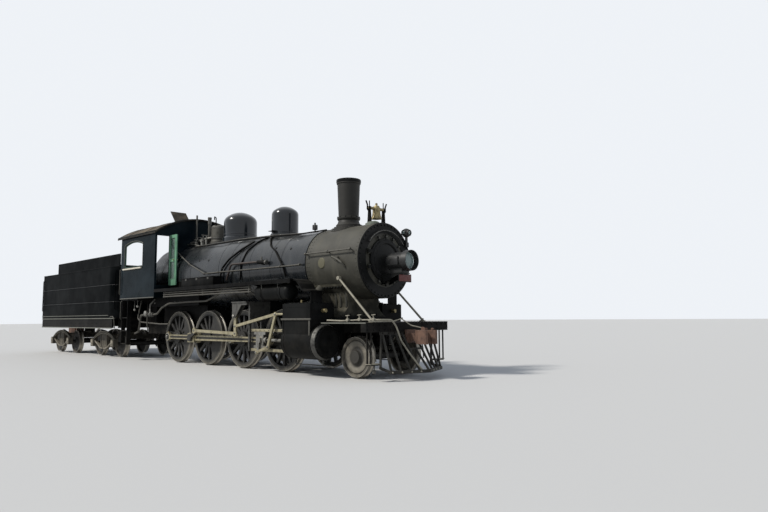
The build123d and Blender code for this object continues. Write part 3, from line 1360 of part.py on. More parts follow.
def pilot():
    """A pilot of tubes between a head bar and a V-shaped foot, with a strut at each end."""
    head_x = BEAM_X1 - 50
    head_z = BEAM_Z0 - SEAT
    top_z = head_z - 40
    back = PILOT_TIP_X - PILOT_SWEEP * PILOT_HALF
    tip_in = PILOT_TIP_X - PILOT_FOOT_W
    foot = plate_xy(
        [
            (PILOT_TIP_X, 0),
            (back, PILOT_HALF),
            (back - PILOT_FOOT_W, PILOT_HALF),
            (tip_in, 0),
            (back - PILOT_FOOT_W, -PILOT_HALF),
            (back, -PILOT_HALF),
        ],
        PILOT_FOOT_Z0,
        PILOT_FOOT_Z1,
    )
    frame = foot + block(head_x - 30, head_x + 30, -PILOT_HALF - 20, PILOT_HALF + 20, head_z - 60, head_z)
    foot_z = (PILOT_FOOT_Z0 + PILOT_FOOT_Z1) / 2
    for index in range(-PILOT_BARS, PILOT_BARS + 1):
        y = index * PILOT_PITCH
        end = (PILOT_TIP_X - PILOT_FOOT_W / 2 - PILOT_SWEEP * abs(y), y, foot_z)
        if index:
            frame += bar((head_x, y, top_z), end, PILOT_BAR_R)
    side_end = PILOT_TIP_X - PILOT_FOOT_W / 2 - PILOT_SWEEP * PILOT_PITCH
    cross_x = head_x + PILOT_CROSS * (side_end - head_x)
    cross_z = top_z + PILOT_CROSS * (foot_z - top_z)
    frame += block(cross_x - 20, cross_x + 20, -PILOT_PITCH, PILOT_PITCH, cross_z - 20, cross_z + 20)
    frame += bar((cross_x, 0, cross_z), (PILOT_TIP_X - PILOT_FOOT_W / 2, 0, foot_z), PILOT_BAR_R)
    for side in SIDES:
        strut = [
            (back - 20, PILOT_FOOT_Z0 + 10),
            (back - 20, PILOT_FOOT_Z1 - 10),
            (head_x - 20, PILOT_FOOT_Z1 + 60),
            (head_x + 15, head_z - 20),
            (head_x - 25, head_z - 20),
            (head_x - 65, PILOT_FOOT_Z1 + 20),
        ]
        frame += plate_xz(strut, side * (PILOT_HALF - 36), side * (PILOT_HALF - 4))
    return frame


COUPLER_Z = 862.0


def coupler(face_x, beam_x, direction):
    """A knuckle coupler with its pocket, its pulling face at face_x."""
    d = direction
    shank = block(beam_x + d * SEAT, face_x - d * 330, -75, 75, COUPLER_Z - 75, COUPLER_Z + 75)
    flange = block(beam_x + d * SEAT, beam_x + d * (SEAT + 50), -150, 150, COUPLER_Z - 120, COUPLER_Z + 150)
    head = extrude(
        Plane.XY.offset(COUPLER_Z - 140)
        * outline(
            [
                (face_x - d * 400, -110),
                (face_x - d * 260, -200),
                (face_x - d * 30, -230),
                (face_x, -190),
                (face_x - d * 40, -150),
                (face_x - d * 170, -110),
                (face_x - d * 190, 0),
                (face_x - d * 120, 40),
                (face_x - d * 60, 20),
                (face_x, 50),
                (face_x, 110),
                (face_x - d * 60, 175),
                (face_x - d * 210, 190),
                (face_x - d * 400, 110),
            ]
        ),
        amount=280,
    )
    lock = block(face_x - d * 300, face_x - d * 200, -45, 45, COUPLER_Z + 130, COUPLER_Z + 185)
    return shank + [flange, head, lock]


keep("pilot_beam", pilot_beam())
keep("brace_rods", group([brace_rod(side) for side in SIDES]))
keep("pilot", pilot())
keep("front_coupler", coupler(MAIN_X + FRONT_REACH, BEAM_X1, 1))


# Leading truck
def pilot_truck():
    """Frame, centre bearing and radius bars of the leading truck."""
    y0, y1 = 500, WHEEL_BACK - 40
    x = PILOT_AXLE_X
    z = TRUCK_Z
    frame = block(x - 150, x + 150, -y0 - 5, y0 + 5, z + TRUCK_AXLE_R + 60, z + 200)
    frame += bar((x, 0, z + 190), (x, 0, FRONT_RAIL_Z0 - SEAT), 120)
    for side in SIDES:
        cheek = side_block(side, x - 150, x + 150, y0, y1, z - 150, z + 200)
        cheek -= bar((x, side * (y0 - 1), z), (x, side * (y1 + 1), z), TRUCK_AXLE_R + RUN)
        frame += cheek
        corners = [
            (x - 140, side * 560),
            (x - 140, side * 505),
            (TRUCK_PIVOT_X, side * 8),
            (TRUCK_PIVOT_X, side * 60),
        ]
        radius_bar = extrude(Plane.XY.offset(PIVOT_EYE_Z0 + 10) * outline(corners), amount=60)
        frame += radius_bar
    eye = bar((TRUCK_PIVOT_X, 0, PIVOT_EYE_Z0), (TRUCK_PIVOT_X, 0, PIVOT_EYE_Z1), 95)
    frame += eye
    return frame - bar((TRUCK_PIVOT_X, 0, PIVOT_EYE_Z0 - 30), (TRUCK_PIVOT_X, 0, PIVOT_EYE_Z1 + 1), 45 + RUN)


keep("pilot_truck", pilot_truck())


# Brakes on the driving wheels
def brake(side, axle_x):
    """A brake shoe and its hanger behind a driving wheel."""
    x = axle_x - DRIVER_R
    y0, y1 = WHEEL_BACK + 45, WHEEL_FACE - 20
    hanger = side_block(side, x - 78, x - 48, y0, y1 - 20, DRIVER_Z - 120, FRAME_TOP - 60)
    shoe = side_block(side, x - 60, x + 80, y0, y1, DRIVER_Z - 150, DRIVER_Z + 150)
    shoe -= bar((axle_x, side * (y0 - 1), DRIVER_Z), (axle_x, side * (y1 + 1), DRIVER_Z), DRIVER_R + AIR)
    arm = side_block(side, x - 78, x - 48, FRAME_Y1 + SEAT, y1 - 20, FRAME_TOP - 90, FRAME_TOP - 60)
    return hanger + [shoe, arm]


keep("driver_brakes", group([brake(side, x) for side in SIDES for x in DRIVER_XS]))


# Tender
def tender_plan(inset):
    """Plan outline of the tank with its two rounded front corners."""
    half = TENDER_HALF - inset
    rear, front = TENDER_REAR + inset, TENDER_FRONT - inset
    r = TENDER_CORNER
    s = r * (1 - math.sqrt(0.5))
    return make_face(
        [
            Line((rear, -half), (front - r, -half)),
            ThreePointArc((front - r, -half), (front - s, -half + s), (front, -half + r)),
            Line((front, -half + r), (front, half - r)),
            ThreePointArc((front, half - r), (front - s, half - s), (front - r, half)),
            Line((front - r, half), (rear, half)),
            Line((rear, half), (rear, -half)),
        ]
    )


def tender_tank():
    """The water tank with the coal space between its legs and the boards above it."""
    z0, z1 = TENDER_TANK_Z0 + SEAT, TENDER_TANK_Z1
    tank = extrude(Plane.XY.offset(z0) * tender_plan(0), amount=z1 - z0)
    coal_front = TENDER_FRONT - 350
    slope = plate_xz(
        [
            (COAL_BACK, z1 + 1),
            (COAL_BACK, z1 - 350),
            (coal_front - 1200, 1800),
            (coal_front, 1750),
            (coal_front, z1 + 1),
        ],
        -COAL_HALF,
        COAL_HALF,
    )
    tank -= slope
    tank -= block(coal_front - 10, TENDER_FRONT + 10, -520, 520, 1750, z1 + 1)
    board = 40
    for side in SIDES:
        y0, y1 = COAL_HALF + 20, COAL_HALF + 20 + board
        tank += side_block(side, SIDE_BOARD_BACK, coal_front + 100, y0, y1, z1, COAL_BOARD_Z)
    tank += block(COAL_BACK - 300, COAL_BACK - 300 + board, -COAL_HALF - 20, COAL_HALF + 20, z1, COAL_BOARD_Z)
    return tank


HATCH_LID_X = TENDER_REAR + 1050.0


def water_lid():
    """The lid of the tank filler, hinged at its rear edge."""
    z = TENDER_TANK_Z1 + 120 + SEAT
    lid = block(HATCH_LID_X - 300, HATCH_LID_X + 300, -420, 420, z, z + 25)
    lid += bar((HATCH_LID_X - 312, -420, z + 12), (HATCH_LID_X - 312, 420, z + 12), 12.5)
    return lid


def filler_neck():
    """The raised rim of the tank filler, open inside."""
    z0, z1 = TENDER_TANK_Z1 + SEAT, TENDER_TANK_Z1 + 120
    neck = block(HATCH_LID_X - 290, HATCH_LID_X + 290, -410, 410, z0, z1)
    return neck - block(HATCH_LID_X - 270, HATCH_LID_X + 270, -390, 390, z0 - 1, z1 + 1)


def tender_frame():
    """The underframe: deck, sills, end beams, bolsters and drawbar."""
    z1 = TENDER_TANK_Z0
    rear, front = TENDER_REAR - 60, TENDER_FRONT + 20
    frame = block(rear, front, -1450, 1450, z1 - 40, z1)
    for side in SIDES:
        frame += side_block(side, rear, front - 250, 1390, 1450, SILL_Z0, z1)
        frame += side_block(side, rear, front, 180, 300, SILL_Z0 + 30, z1)
    frame += block(rear, rear + 200, -1450, 1450, SILL_Z0, z1)
    frame += block(front - 250, front, -1250, 1250, SILL_Z0, z1)
    for x in TRUCK_CENTRES:
        frame += block(x - 180, x + 180, -1390, 1390, SILL_Z0 + 60, z1 - 20)
        frame += bar((x, 0, BOLSTER_Z + SEAT), (x, 0, z1 - 20), 190)
    frame += block(front - 60, DRAWBAR_X, -90, 90, SILL_Z0 + 50, SILL_Z0 + 130)
    frame += bar((DRAWBAR_X, 0, SILL_Z0 + 50), (DRAWBAR_X, 0, SILL_Z0 + 130), 110)
    return frame - bar((DRAWBAR_X, 0, SILL_Z0), (DRAWBAR_X, 0, SILL_Z0 + 200), 55 + RUN)


def drawbar_pin():
    """The pin and jaw at the rear of the engine frame that hold the tender's drawbar."""
    z0, z1 = SILL_Z0 + 50 - SEAT, SILL_Z0 + 130 + SEAT
    jaw = block(DRAWBAR_X - 100, FRAME_REAR - SEAT, -130, 130, z0 - 60, z1 + 60)
    jaw -= block(DRAWBAR_X - 200, FRAME_REAR - 60, -140, 140, z0, z1)
    return jaw + bar((DRAWBAR_X, 0, z0 - 60), (DRAWBAR_X, 0, z1 + 60), 55)


SIDE_FRAME_Y0 = 960.0
SIDE_FRAME_Y1 = 1050.0
SPRING_PITCH = 78.0
SPRING_R = 62.0
BOLSTER_BOTTOM = 560.0


def truck_side(side, x):
    """One side frame of a tender truck with its journal boxes."""
    half = TRUCK_BASE / 2
    z = TRUCK_Z
    y0, y1 = side * SIDE_FRAME_Y0, side * SIDE_FRAME_Y1
    low, high = sorted((y0, y1))
    middle_y = (y0 + y1) / 2
    arch = make_face(
        [
            Line((x - half - 90, z + 60), (x - half - 90, z + 130)),
            ThreePointArc((x - half - 90, z + 130), (x, z + 420), (x + half + 90, z + 130)),
            Line((x + half + 90, z + 130), (x + half + 90, z + 60)),
            ThreePointArc((x + half + 90, z + 60), (x, z + 345), (x - half - 90, z + 60)),
        ]
    )
    frame = extrude(Plane.XZ.offset(-high) * arch, amount=high - low)
    for d in (-1, 1):
        axle_x = x + d * half
        frame += block(axle_x - 110, axle_x + 110, y0, y1 + side * 60, z - 110, z + 150)
        frame += plate_xz(
            [
                (axle_x - d * 60, z + 110),
                (x + d * 260, z - 130),
                (x + d * 200, z - 180),
                (axle_x - d * 110, z + 30),
            ],
            y0,
            y1,
        )
        frame += block(x + d * 190, x + d * 260, y0, y1, z - 180, z + 360)
        hole_out = side * (SIDE_FRAME_Y1 + 25)
        frame -= bar((axle_x, side * 900, z), (axle_x, hole_out, z), JOURNAL_R + RUN)
    frame += block(x - 260, x + 260, y0, y1, z - 190, z - 130)
    for d in (-1, 1):
        spring_x = x + d * SPRING_PITCH
        frame += bar((spring_x, middle_y, z - 140), (spring_x, middle_y, BOLSTER_BOTTOM - SEAT), SPRING_R)
    return frame


def truck_bolster(x):
    """The cross bolster between two side frames."""
    reach = SIDE_FRAME_Y1 - 10
    bolster = block(x - 150, x + 150, -reach, reach, BOLSTER_BOTTOM, BOLSTER_Z - 60)
    bolster += bar((x, 0, BOLSTER_Z - 70), (x, 0, BOLSTER_Z), 200)
    return bolster


keep("tender_tank", group([tender_tank(), filler_neck()]))
keep("tender_filler_lid", water_lid())
keep("tender_frame", tender_frame())
keep("drawbar_pin", drawbar_pin())
keep("rear_coupler", coupler(MAIN_X - REAR_REACH, TENDER_REAR - 60, -1))
TENDER_JOURNAL = SIDE_FRAME_Y1 + 20.0
for place, centre in zip(("front", "rear"), TRUCK_CENTRES):
    solids = [truck_side(side, centre) for side in SIDES] + [truck_bolster(centre)]
    keep(f"tender_truck_{place}", group(solids))
wheelset_xs = [centre + d * TRUCK_BASE / 2 for centre in TRUCK_CENTRES for d in (1, -1)]
for number, x in enumerate(wheelset_xs, 1):
    keep(f"tender_wheelset_{number}", small_wheelset(x, SMALL_HUB_FACE, TENDER_JOURNAL))

for name, shape in part_solids.items():
    export_step(shape, f"parts/{name}.step")
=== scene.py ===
import math
import random

import bpy
from mathutils import Matrix, Vector


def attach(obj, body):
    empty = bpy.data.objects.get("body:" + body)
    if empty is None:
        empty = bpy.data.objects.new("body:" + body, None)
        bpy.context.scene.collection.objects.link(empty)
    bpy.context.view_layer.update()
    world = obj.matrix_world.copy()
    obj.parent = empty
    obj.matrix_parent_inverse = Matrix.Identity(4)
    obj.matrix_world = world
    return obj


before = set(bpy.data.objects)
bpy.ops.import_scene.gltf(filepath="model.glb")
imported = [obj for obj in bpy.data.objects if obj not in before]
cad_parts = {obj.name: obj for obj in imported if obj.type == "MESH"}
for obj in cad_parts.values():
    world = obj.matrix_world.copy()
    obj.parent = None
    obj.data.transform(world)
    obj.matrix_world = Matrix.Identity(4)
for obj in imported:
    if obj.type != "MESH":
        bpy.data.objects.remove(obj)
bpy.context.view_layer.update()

# Driving dimensions, in metres, as the engine was built
MAIN_X = 2.415
RAIL_Z = 0.028
DRIVER_R = 0.724
DRIVER_Z = 0.752
TRUCK_R = 0.419
TRUCK_Z = 0.447
DRIVER_PITCH = 1.676
CRANK = 0.3555
MOTION_Y = 1.090
MAIN_ROD = 3.255
SIDE_ROD_Y = 0.932
BOILER_Z = 2.518
SMOKEBOX_R = 0.838
SMOKEBOX_BACK = MAIN_X + 4.20
SMOKEBOX_FRONT = MAIN_X + 5.91
FRONT_COURSE_R = 0.85
BARREL_R = 1.0
TAPER_FRONT = MAIN_X + 3.25
TAPER_BACK = MAIN_X + 0.85
STACK_X = MAIN_X + 4.76
SAND_DOME_X = MAIN_X + 2.32
STEAM_DOME_X = MAIN_X + 0.24
CAB_FRONT = MAIN_X - 1.93
CAB_REAR = MAIN_X - 4.22
RIGHT = -1
LEFT = 1
SIDES = ((RIGHT, "right"), (LEFT, "left"))
CHEST_TOP = 1.578
GUIDE_FACE = 0.231
FIREBOX_Y = -0.9855
AIR_TANK_Y, AIR_TANK_Z = -1.235, 1.86
BACKHEAD_X = MAIN_X - 3.082
CAB_ROOF_TOP, CAB_ROOF_HALF, CAB_ROOF_RISE = 4.33, 1.53, 0.502
DOOR_BODY = "smokebox_door_body"
TRUCK_BODY = "tender_truck_front_body"
AHEAD, BACK, UP, TO_RIGHT = (1, 0, 0), (-1, 0, 0), (0, 0, 1), (0, -1, 0)
TENDER_TRUCKS = (("front", MAIN_X - 6.43), ("rear", MAIN_X - 10.43))
TRUCK_BASE = 1.68
DRIVER_PLACES = tuple(enumerate((2, 1, 0, -1), 1))
ROD_DRIVEN = 3
PILOT_X = MAIN_X + 5.82
BEAM_X = MAIN_X + 6.62

random.seed(4)


# Finishes

def linear(code):
    """A hex colour as a linear one, the way a shader wants it."""
    parts = [int(code[i:i + 2], 16) / 255 for i in (1, 3, 5)]
    return tuple(c / 12.92 if c < 0.04045 else ((c + 0.055) / 1.055) ** 2.4 for c in parts) + (1.0,)


class Finish:
    """The node tree of one procedural finish."""

    def __init__(self, name, slot):
        self.material = bpy.data.materials.new(name)
        self.material.use_nodes = True
        self.tree = self.material.node_tree
        self.shader = self.tree.nodes["Principled BSDF"]
        self.slot = slot

    def node(self, kind, **values):
        """Adds a node and sets its plain settings."""
        made = self.tree.nodes.new(kind)
        for key, value in values.items():
            setattr(made, key, value)
        return made

    def feed(self, node, name, value):
        """Links a socket, or sets a number or a colour, on an input given by name or number."""
        socket = node.inputs[name]
        if isinstance(value, bpy.types.NodeSocket):
            self.tree.links.new(value, socket)
        else:
            socket.default_value = value

    def place(self, scale=(1, 1, 1), shift=(0, 0, 0)):
        """Object coordinates, stretched by a scale."""
        coords = self.node("ShaderNodeTexCoord")
        mapping = self.node("ShaderNodeMapping")
        self.feed(mapping, "Vector", coords.outputs["Object"])
        self.feed(mapping, "Scale", scale)
        self.feed(mapping, "Location", shift)
        return mapping.outputs["Vector"]

    def noise(self, scale, detail=4.0, rough=0.55, stretch=(1, 1, 1), shift=(0, 0, 0)):
        """Noise from 0 to 1."""
        made = self.node("ShaderNodeTexNoise")
        self.feed(made, "Vector", self.place(stretch, shift))
        self.feed(made, "Scale", scale)
        self.feed(made, "Detail", detail)
        self.feed(made, "Roughness", rough)
        return made.outputs["Fac"]

    def step(self, value, low, high, out_low=0.0, out_high=1.0):
        """A value spread from one range to another, smoothly."""
        made = self.node("ShaderNodeMapRange", interpolation_type="SMOOTHSTEP")
        self.feed(made, "Value", value)
        self.feed(made, "From Min", low)
        self.feed(made, "From Max", high)
        self.feed(made, "To Min", out_low)
        self.feed(made, "To Max", out_high)
        return made.outputs["Result"]

    def sum(self, kind, a, b):
        """One sum of two values, kept from 0 to 1."""
        made = self.node("ShaderNodeMath", operation=kind, use_clamp=True)
        self.feed(made, 0, a)
        self.feed(made, 1, b)
        return made.outputs["Value"]

    def times(self, a, b):
        return self.sum("MULTIPLY", a, b)

    def plus(self, a, b):
        return self.sum("ADD", a, b)

    def mix(self, share, a, b):
        """A colour between two."""
        made = self.node("ShaderNodeMix", data_type="RGBA")
        for index, value in ((0, share), (6, a), (7, b)):
            self.feed(made, index, value)
        return made.outputs[2]

    def height(self):
        """The height over the ground."""
        coords = self.node("ShaderNodeTexCoord")
        split = self.node("ShaderNodeSeparateXYZ")
        self.feed(split, "Vector", coords.outputs["Object"])
        return split.outputs["Z"]

    def facing_up(self):
        """How far the surface faces the sky."""
        made = self.node("ShaderNodeNewGeometry")
        split = self.node("ShaderNodeSeparateXYZ")
        self.feed(split, "Vector", made.outputs["Normal"])
        return split.outputs["Z"]

    def bump(self, height, strength, distance):
        """Relief over what relief there is."""
        made = self.node("ShaderNodeBump")
        made.inputs["Strength"].default_value = strength
        made.inputs["Distance"].default_value = distance
        self.feed(made, "Height", height)
        socket = self.shader.inputs["Normal"]
        if socket.links:
            self.tree.links.new(socket.links[0].from_socket, made.inputs["Normal"])
        self.tree.links.new(made.outputs["Normal"], socket)


def painted(name, slot, paint, dust, dusty=0.5, low_dirt=0.5, rough=0.4, metal=0.0, streaks=0.3, wavy=0.0,
        coat=0.0, shine=0.3):
    """Old paint: uneven tone, dust on top faces and low down, rain streaks, slightly wavy plate."""
    finish = Finish(name, slot)
    paint, dust = linear(paint), linear(dust)
    worn = tuple(min(1, c * 2.1 + 0.008) for c in paint[:3]) + (1,)
    tone = finish.step(finish.noise(1.7, 6), 0.35, 0.7)
    colour = finish.mix(finish.times(tone, 0.6), paint, worn)
    run = finish.noise(5.0, 5, stretch=(1, 1, 0.12))
    streak = finish.times(finish.step(run, 0.5, 0.72), streaks)
    patches = finish.step(finish.noise(4.5, 8, 0.65, shift=(3, 1, 7)), 0.42, 0.68)
    top = finish.step(finish.facing_up(), 0.35, 1.0)
    above = finish.times(top, finish.plus(finish.times(patches, 0.6), 0.4))
    low = finish.step(finish.height(), 1.7, 0.1)
    below = finish.times(finish.times(low, low_dirt), finish.plus(patches, 0.35))
    dirt = finish.plus(finish.times(above, dusty), below)
    dirt = finish.plus(dirt, finish.times(streak, 0.5))
    dirt = finish.plus(dirt, finish.times(patches, 0.12 * dusty))
    colour = finish.mix(dirt, colour, dust)
    finish.feed(finish.shader, "Base Color", colour)
    finish.feed(finish.shader, "Roughness", finish.step(dirt, 0.0, 0.8, rough, min(0.92, rough + 0.4)))
    finish.shader.inputs["Metallic"].default_value = metal
    finish.shader.inputs["Specular IOR Level"].default_value = shine
    finish.shader.inputs["Coat Weight"].default_value = coat
    finish.shader.inputs["Coat Roughness"].default_value = 0.12
    if wavy:
        finish.bump(finish.noise(2.6, 2, 0.4, shift=(5, 2, 1)), wavy, 0.02)
    finish.bump(finish.noise(70.0, 4, 0.6), 0.12, 0.004)
    return finish


def bare_metal(name, slot, metal_colour, grime, grimy=0.5, rough=0.35, metal=0.9, scale=9.0):
    """Machined metal with oil and grime in patches."""
    finish = Finish(name, slot)
    clean, dirty = linear(metal_colour), linear(grime)
    patches = finish.step(finish.noise(scale, 8, 0.65), 0.4, 0.7)
    fine = finish.step(finish.noise(scale * 6, 5, 0.6, shift=(2, 2, 2)), 0.45, 0.75)
    low = finish.step(finish.height(), 1.4, 0.1, 0.0, 0.4)
    dirt = finish.plus(finish.times(patches, grimy), finish.times(fine, grimy * 0.5))
    dirt = finish.plus(dirt, finish.times(low, grimy))
    finish.feed(finish.shader, "Base Color", finish.mix(dirt, clean, dirty))
    finish.feed(finish.shader, "Roughness", finish.step(dirt, 0.0, 1.0, rough, 0.7))
    finish.feed(finish.shader, "Metallic", finish.step(dirt, 0.0, 1.0, metal, metal * 0.3))
    finish.bump(finish.noise(45.0, 5, 0.6), 0.15, 0.003)
    return finish


def wheel_finish(name, centre_x, centre_z, tread_r, rim_r, web, rim, painted_shade_r=0.0):
    """Dusty wheel with a bright tread edge and a paler tyre, in rings about its axle; plate wheels also get
    painted shade in the dish's hollow and in the groove inside the tyre.
    """
    finish = Finish(name, "wheel_black")
    coords = finish.place((1, 0, 1), (-centre_x, 0, -centre_z))
    length = finish.node("ShaderNodeVectorMath", operation="LENGTH")
    finish.feed(length, "Vector", coords)
    reach = length.outputs["Value"]
    patches = finish.step(finish.noise(7.0, 8, 0.65), 0.35, 0.7)
    web_colour = finish.mix(finish.times(patches, 0.7), linear(web[0]), linear(web[1]))
    rim_colour = finish.mix(patches, linear(rim[0]), linear(rim[1]))
    colour = finish.mix(finish.step(reach, rim_r - 0.004, rim_r + 0.004), web_colour, rim_colour)
    # Painted shade: the hollow of the dish and the groove inside the tyre are darkened to near black, as if
    # in shadow.
    if painted_shade_r:
        middle = finish.step(reach, painted_shade_r, painted_shade_r + 0.07, 0.92, 0.0)
        groove = finish.step(finish.times(finish.step(reach, 0.325, 0.338), finish.step(reach, 0.358, 0.345)),
            0.0, 1.0, 0.0, 0.8)
        colour = finish.mix(finish.plus(middle, groove), colour, linear("#171613"))
    tread = finish.step(reach, tread_r - 0.012, tread_r - 0.004)
    colour = finish.mix(tread, colour, linear("#9b968c"))
    finish.feed(finish.shader, "Base Color", colour)
    finish.feed(finish.shader, "Metallic", finish.times(tread, 0.8))
    finish.feed(finish.shader, "Roughness", finish.step(tread, 0.0, 1.0, 0.66, 0.36))
    finish.bump(finish.noise(40.0, 5, 0.65), 0.25, 0.004)
    return finish


def plain(name, slot, colour, rough=0.5, metal=0.0, spots=0.15, scale=20.0):
    """A small part's finish: one colour, a little uneven and soiled."""
    finish = Finish(name, slot)
    base = linear(colour)
    soiled = tuple(c * 0.45 for c in base[:3]) + (1,)
    patches = finish.step(finish.noise(scale, 6, 0.6), 0.45, 0.75)
    finish.feed(finish.shader, "Base Color", finish.mix(finish.times(patches, spots * 2), base, soiled))
    finish.shader.inputs["Metallic"].default_value = metal
    finish.feed(finish.shader, "Roughness", finish.step(patches, 0.0, 1.0, rough, min(0.95, rough + 0.2)))
    finish.bump(finish.noise(90.0, 3, 0.6), 0.08, 0.002)
    return finish


def glass(name, slot, tint, seen=0.35):
    """Window or lens glass that lets the inside show."""
    finish = Finish(name, slot)
    haze = finish.step(finish.noise(6.0, 5, 0.6), 0.3, 0.8, 0.04, 0.18)
    finish.shader.inputs["Base Color"].default_value = linear(tint)
    finish.feed(finish.shader, "Roughness", haze)
    finish.shader.inputs["Transmission Weight"].default_value = 1.0 - seen
    finish.shader.inputs["IOR"].default_value = 1.45
    finish.bump(finish.noise(3.0, 2, 0.4), 0.05, 0.003)
    return finish


JACKET = painted("jacket_blue_black", "boiler_blue", "#0f1317", "#54544f", dusty=0.4, low_dirt=0.08,
    rough=0.27, streaks=0.25, wavy=0.35, coat=0.2, shine=0.4)
DOME = painted("dome_blue_black", "boiler_blue", "#0b1015", "#54544f", dusty=0.12, low_dirt=0.05, rough=0.2,
    streaks=0.08, coat=0.4)
SMOKEBOX = painted("smokebox_olive_grey", "smokebox_grey", "#302f29", "#5f5c51", dusty=0.3, low_dirt=0.1,
    rough=0.55, streaks=0.55, wavy=0.25)
STACK = painted("stack_graphite", "smokebox_grey", "#1c1b18", "#423f37", dusty=0.2, low_dirt=0.0, rough=0.55,
    streaks=0.7, wavy=0.3)
FRONT_BLACK = painted("front_black", "smokebox_grey", "#090a0a", "#3d3b36", dusty=0.25, low_dirt=0.2,
    rough=0.42, streaks=0.2, shine=0.12)
FRAME = painted("frame_black", "frame_black", "#080808", "#46433d", dusty=0.35, low_dirt=0.35, rough=0.5,
    streaks=0.15, shine=0.04)
PILOT_BARS = painted("pilot_grey", "frame_black", "#1b1b19", "#55524a", dusty=0.5, low_dirt=0.3, rough=0.5,
    streaks=0.15, shine=0.2)
CASTING = painted("casting_black", "frame_black", "#090a0a", "#403d38", dusty=0.3, low_dirt=0.15, rough=0.45,
    streaks=0.12, shine=0.06)
# The cab's black paint is tinted blue as a painted reflection of the sky; its own shine is kept low.
CAB = painted("cab_black", "cab_black", "#081217", "#3c3f3e", dusty=0.25, low_dirt=0.03, rough=0.25,
    streaks=0.05, wavy=0.25, shine=0.03)
ROOF = painted("roof_dust", "cab_black", "#161513", "#7d7262", dusty=0.85, low_dirt=0.0, rough=0.6,
    streaks=0.2, shine=0.1)
CAB_INSIDE = painted("cab_inside_green", "cab_black", "#24382e", "#232623", dusty=0.3, low_dirt=0.2,
    rough=0.6)
DOOR = painted("door_mint", "door_green", "#547a62", "#3f5c50", dusty=0.3, low_dirt=0.1, rough=0.45,
    streaks=0.35)
TENDER = painted("tender_black", "tender_black", "#060809", "#2f2d29", dusty=0.35, low_dirt=0.05, rough=0.3,
    streaks=0.1, wavy=0.35, shine=0.006)
TRUCK = painted("truck_grey", "truck_grey", "#2c2a25", "#7d776b", dusty=0.7, low_dirt=0.55, rough=0.75,
    streaks=0.3)
TRUCK_PALE = painted("truck_dust", "truck_grey", "#605c52", "#958f83", dusty=0.7, low_dirt=0.6, rough=0.75)
ROD = bare_metal("rod_steel", "rod_steel", "#a8a084", "#40392a", grimy=0.5, rough=0.42, metal=0.55)
STEEL = bare_metal("bright_steel", "bright_steel", "#98968f", "#2c2a26", grimy=0.6, rough=0.3)
DULL_STEEL = bare_metal("dull_steel", "bright_steel", "#5d5c58", "#201f1d", grimy=0.8, rough=0.5, metal=0.7)
PIPE_GREY = plain("pipe_grey", "frame_black", "#4b4943", 0.6, metal=0.3, spots=0.25, scale=9.0)
BRASS = bare_metal("old_brass", "brass", "#8d815f", "#3f3926", grimy=0.6, rough=0.42, metal=0.75, scale=14.0)
RUST = bare_metal("coupler_rust", "rust", "#6e5446", "#3d2c25", grimy=0.7, rough=0.8, metal=0.15)
LAMP = plain("lamp_grey", "lamp_grey", "#1a1b1b", 0.42)
BOARD_BLACK = plain("board_black", "lamp_grey", "#0e0f10", 0.4, spots=0.08)
RED = plain("plate_red", "lamp_grey", "#5a2a27", 0.5)
CREAM = plain("arm_rest", "cab_black", "#c9c4b4", 0.7)
STRIP = plain("edge_strip", "cab_black", "#4f4f49", 0.5)
SEAT_WOOD = plain("seat_wood", "cab_black", "#4a3222", 0.6, spots=0.2, scale=12.0)
LENS = glass("lamp_lens", "lamp_grey", "#bcd3cf")
PANE = glass("cab_pane", "door_green", "#8fa39b")
MIRROR = plain("lamp_reflector", "lamp_grey", "#d8dcdc", 0.12, metal=1.0, spots=0.02)
COAL = plain("coal", "tender_black", "#0c0d0e", 0.42, spots=0.4, scale=60.0)
SEAM = plain("tank_seam", "tender_black", "#1b1c1d", 0.35)
# Ledges and the deck edge are pale grey as a painted highlight of their lit edges.
LEDGE_HIGHLIGHT = plain("ledge_highlight", "frame_black", "#66675f", 0.65, spots=0.35, scale=6.0)
GROOVE = plain("greasy_groove", "rod_steel", "#1b1916", 0.6, spots=0.3)
BELL_FOOT = plain("pale_casting", "smokebox_grey", "#5e6459", 0.6, spots=0.35)
PALE_PIPE = plain("pale_pipe", "frame_black", "#8a8678", 0.6, metal=0.2, spots=0.3, scale=8.0)
COPPER = bare_metal("pipe_copper", "brass", "#3f3531", "#1d1b19", grimy=0.8, rough=0.5, metal=0.5)

DRIVER_WEB = ("#0f0f0e", "#2b2924")
DRIVER_RIM = ("#35332d", "#59554b")
# The pilot wheel's pale web is dust and a painted highlight: between the painted shade of the hollow and the
# groove it gives the dish its lit ring.
PILOT_WEB = ("#5f5b51", "#878175")
PILOT_RIM = ("#3d3a34", "#6a655a")
PLATE_WEB = ("#151412", "#2a2823")
PLATE_RIM = ("#2d2a25", "#565148")


def paint_node(node, finish):
    """Gives a carried-over node its finish."""
    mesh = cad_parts[node].data
    mesh.materials.clear()
    mesh.materials.append(finish.material)


CYLINDERS = painted("cylinder_black", "frame_black", "#090a0a", "#403d38", dusty=0.3, low_dirt=0.15,
    rough=0.45, streaks=0.12, shine=0.04)
split = CYLINDERS.node("ShaderNodeSeparateXYZ")
CYLINDERS.feed(split, "Vector", CYLINDERS.place())
away = CYLINDERS.node("ShaderNodeMath", operation="ABSOLUTE")
CYLINDERS.tree.links.new(split.outputs["Y"], away.inputs[0])
saddle_share = CYLINDERS.times(CYLINDERS.step(away.outputs["Value"], 0.76, 0.73),
    CYLINDERS.step(split.outputs["Z"], 1.26, 1.34))
black_paint = CYLINDERS.shader.inputs["Base Color"].links[0].from_socket
olive_paint = CYLINDERS.mix(CYLINDERS.step(CYLINDERS.noise(3.5, 6), 0.35, 0.7), linear("#302f29"),
    linear("#57544a"))
CYLINDERS.feed(CYLINDERS.shader, "Base Color", CYLINDERS.mix(saddle_share, black_paint, olive_paint))

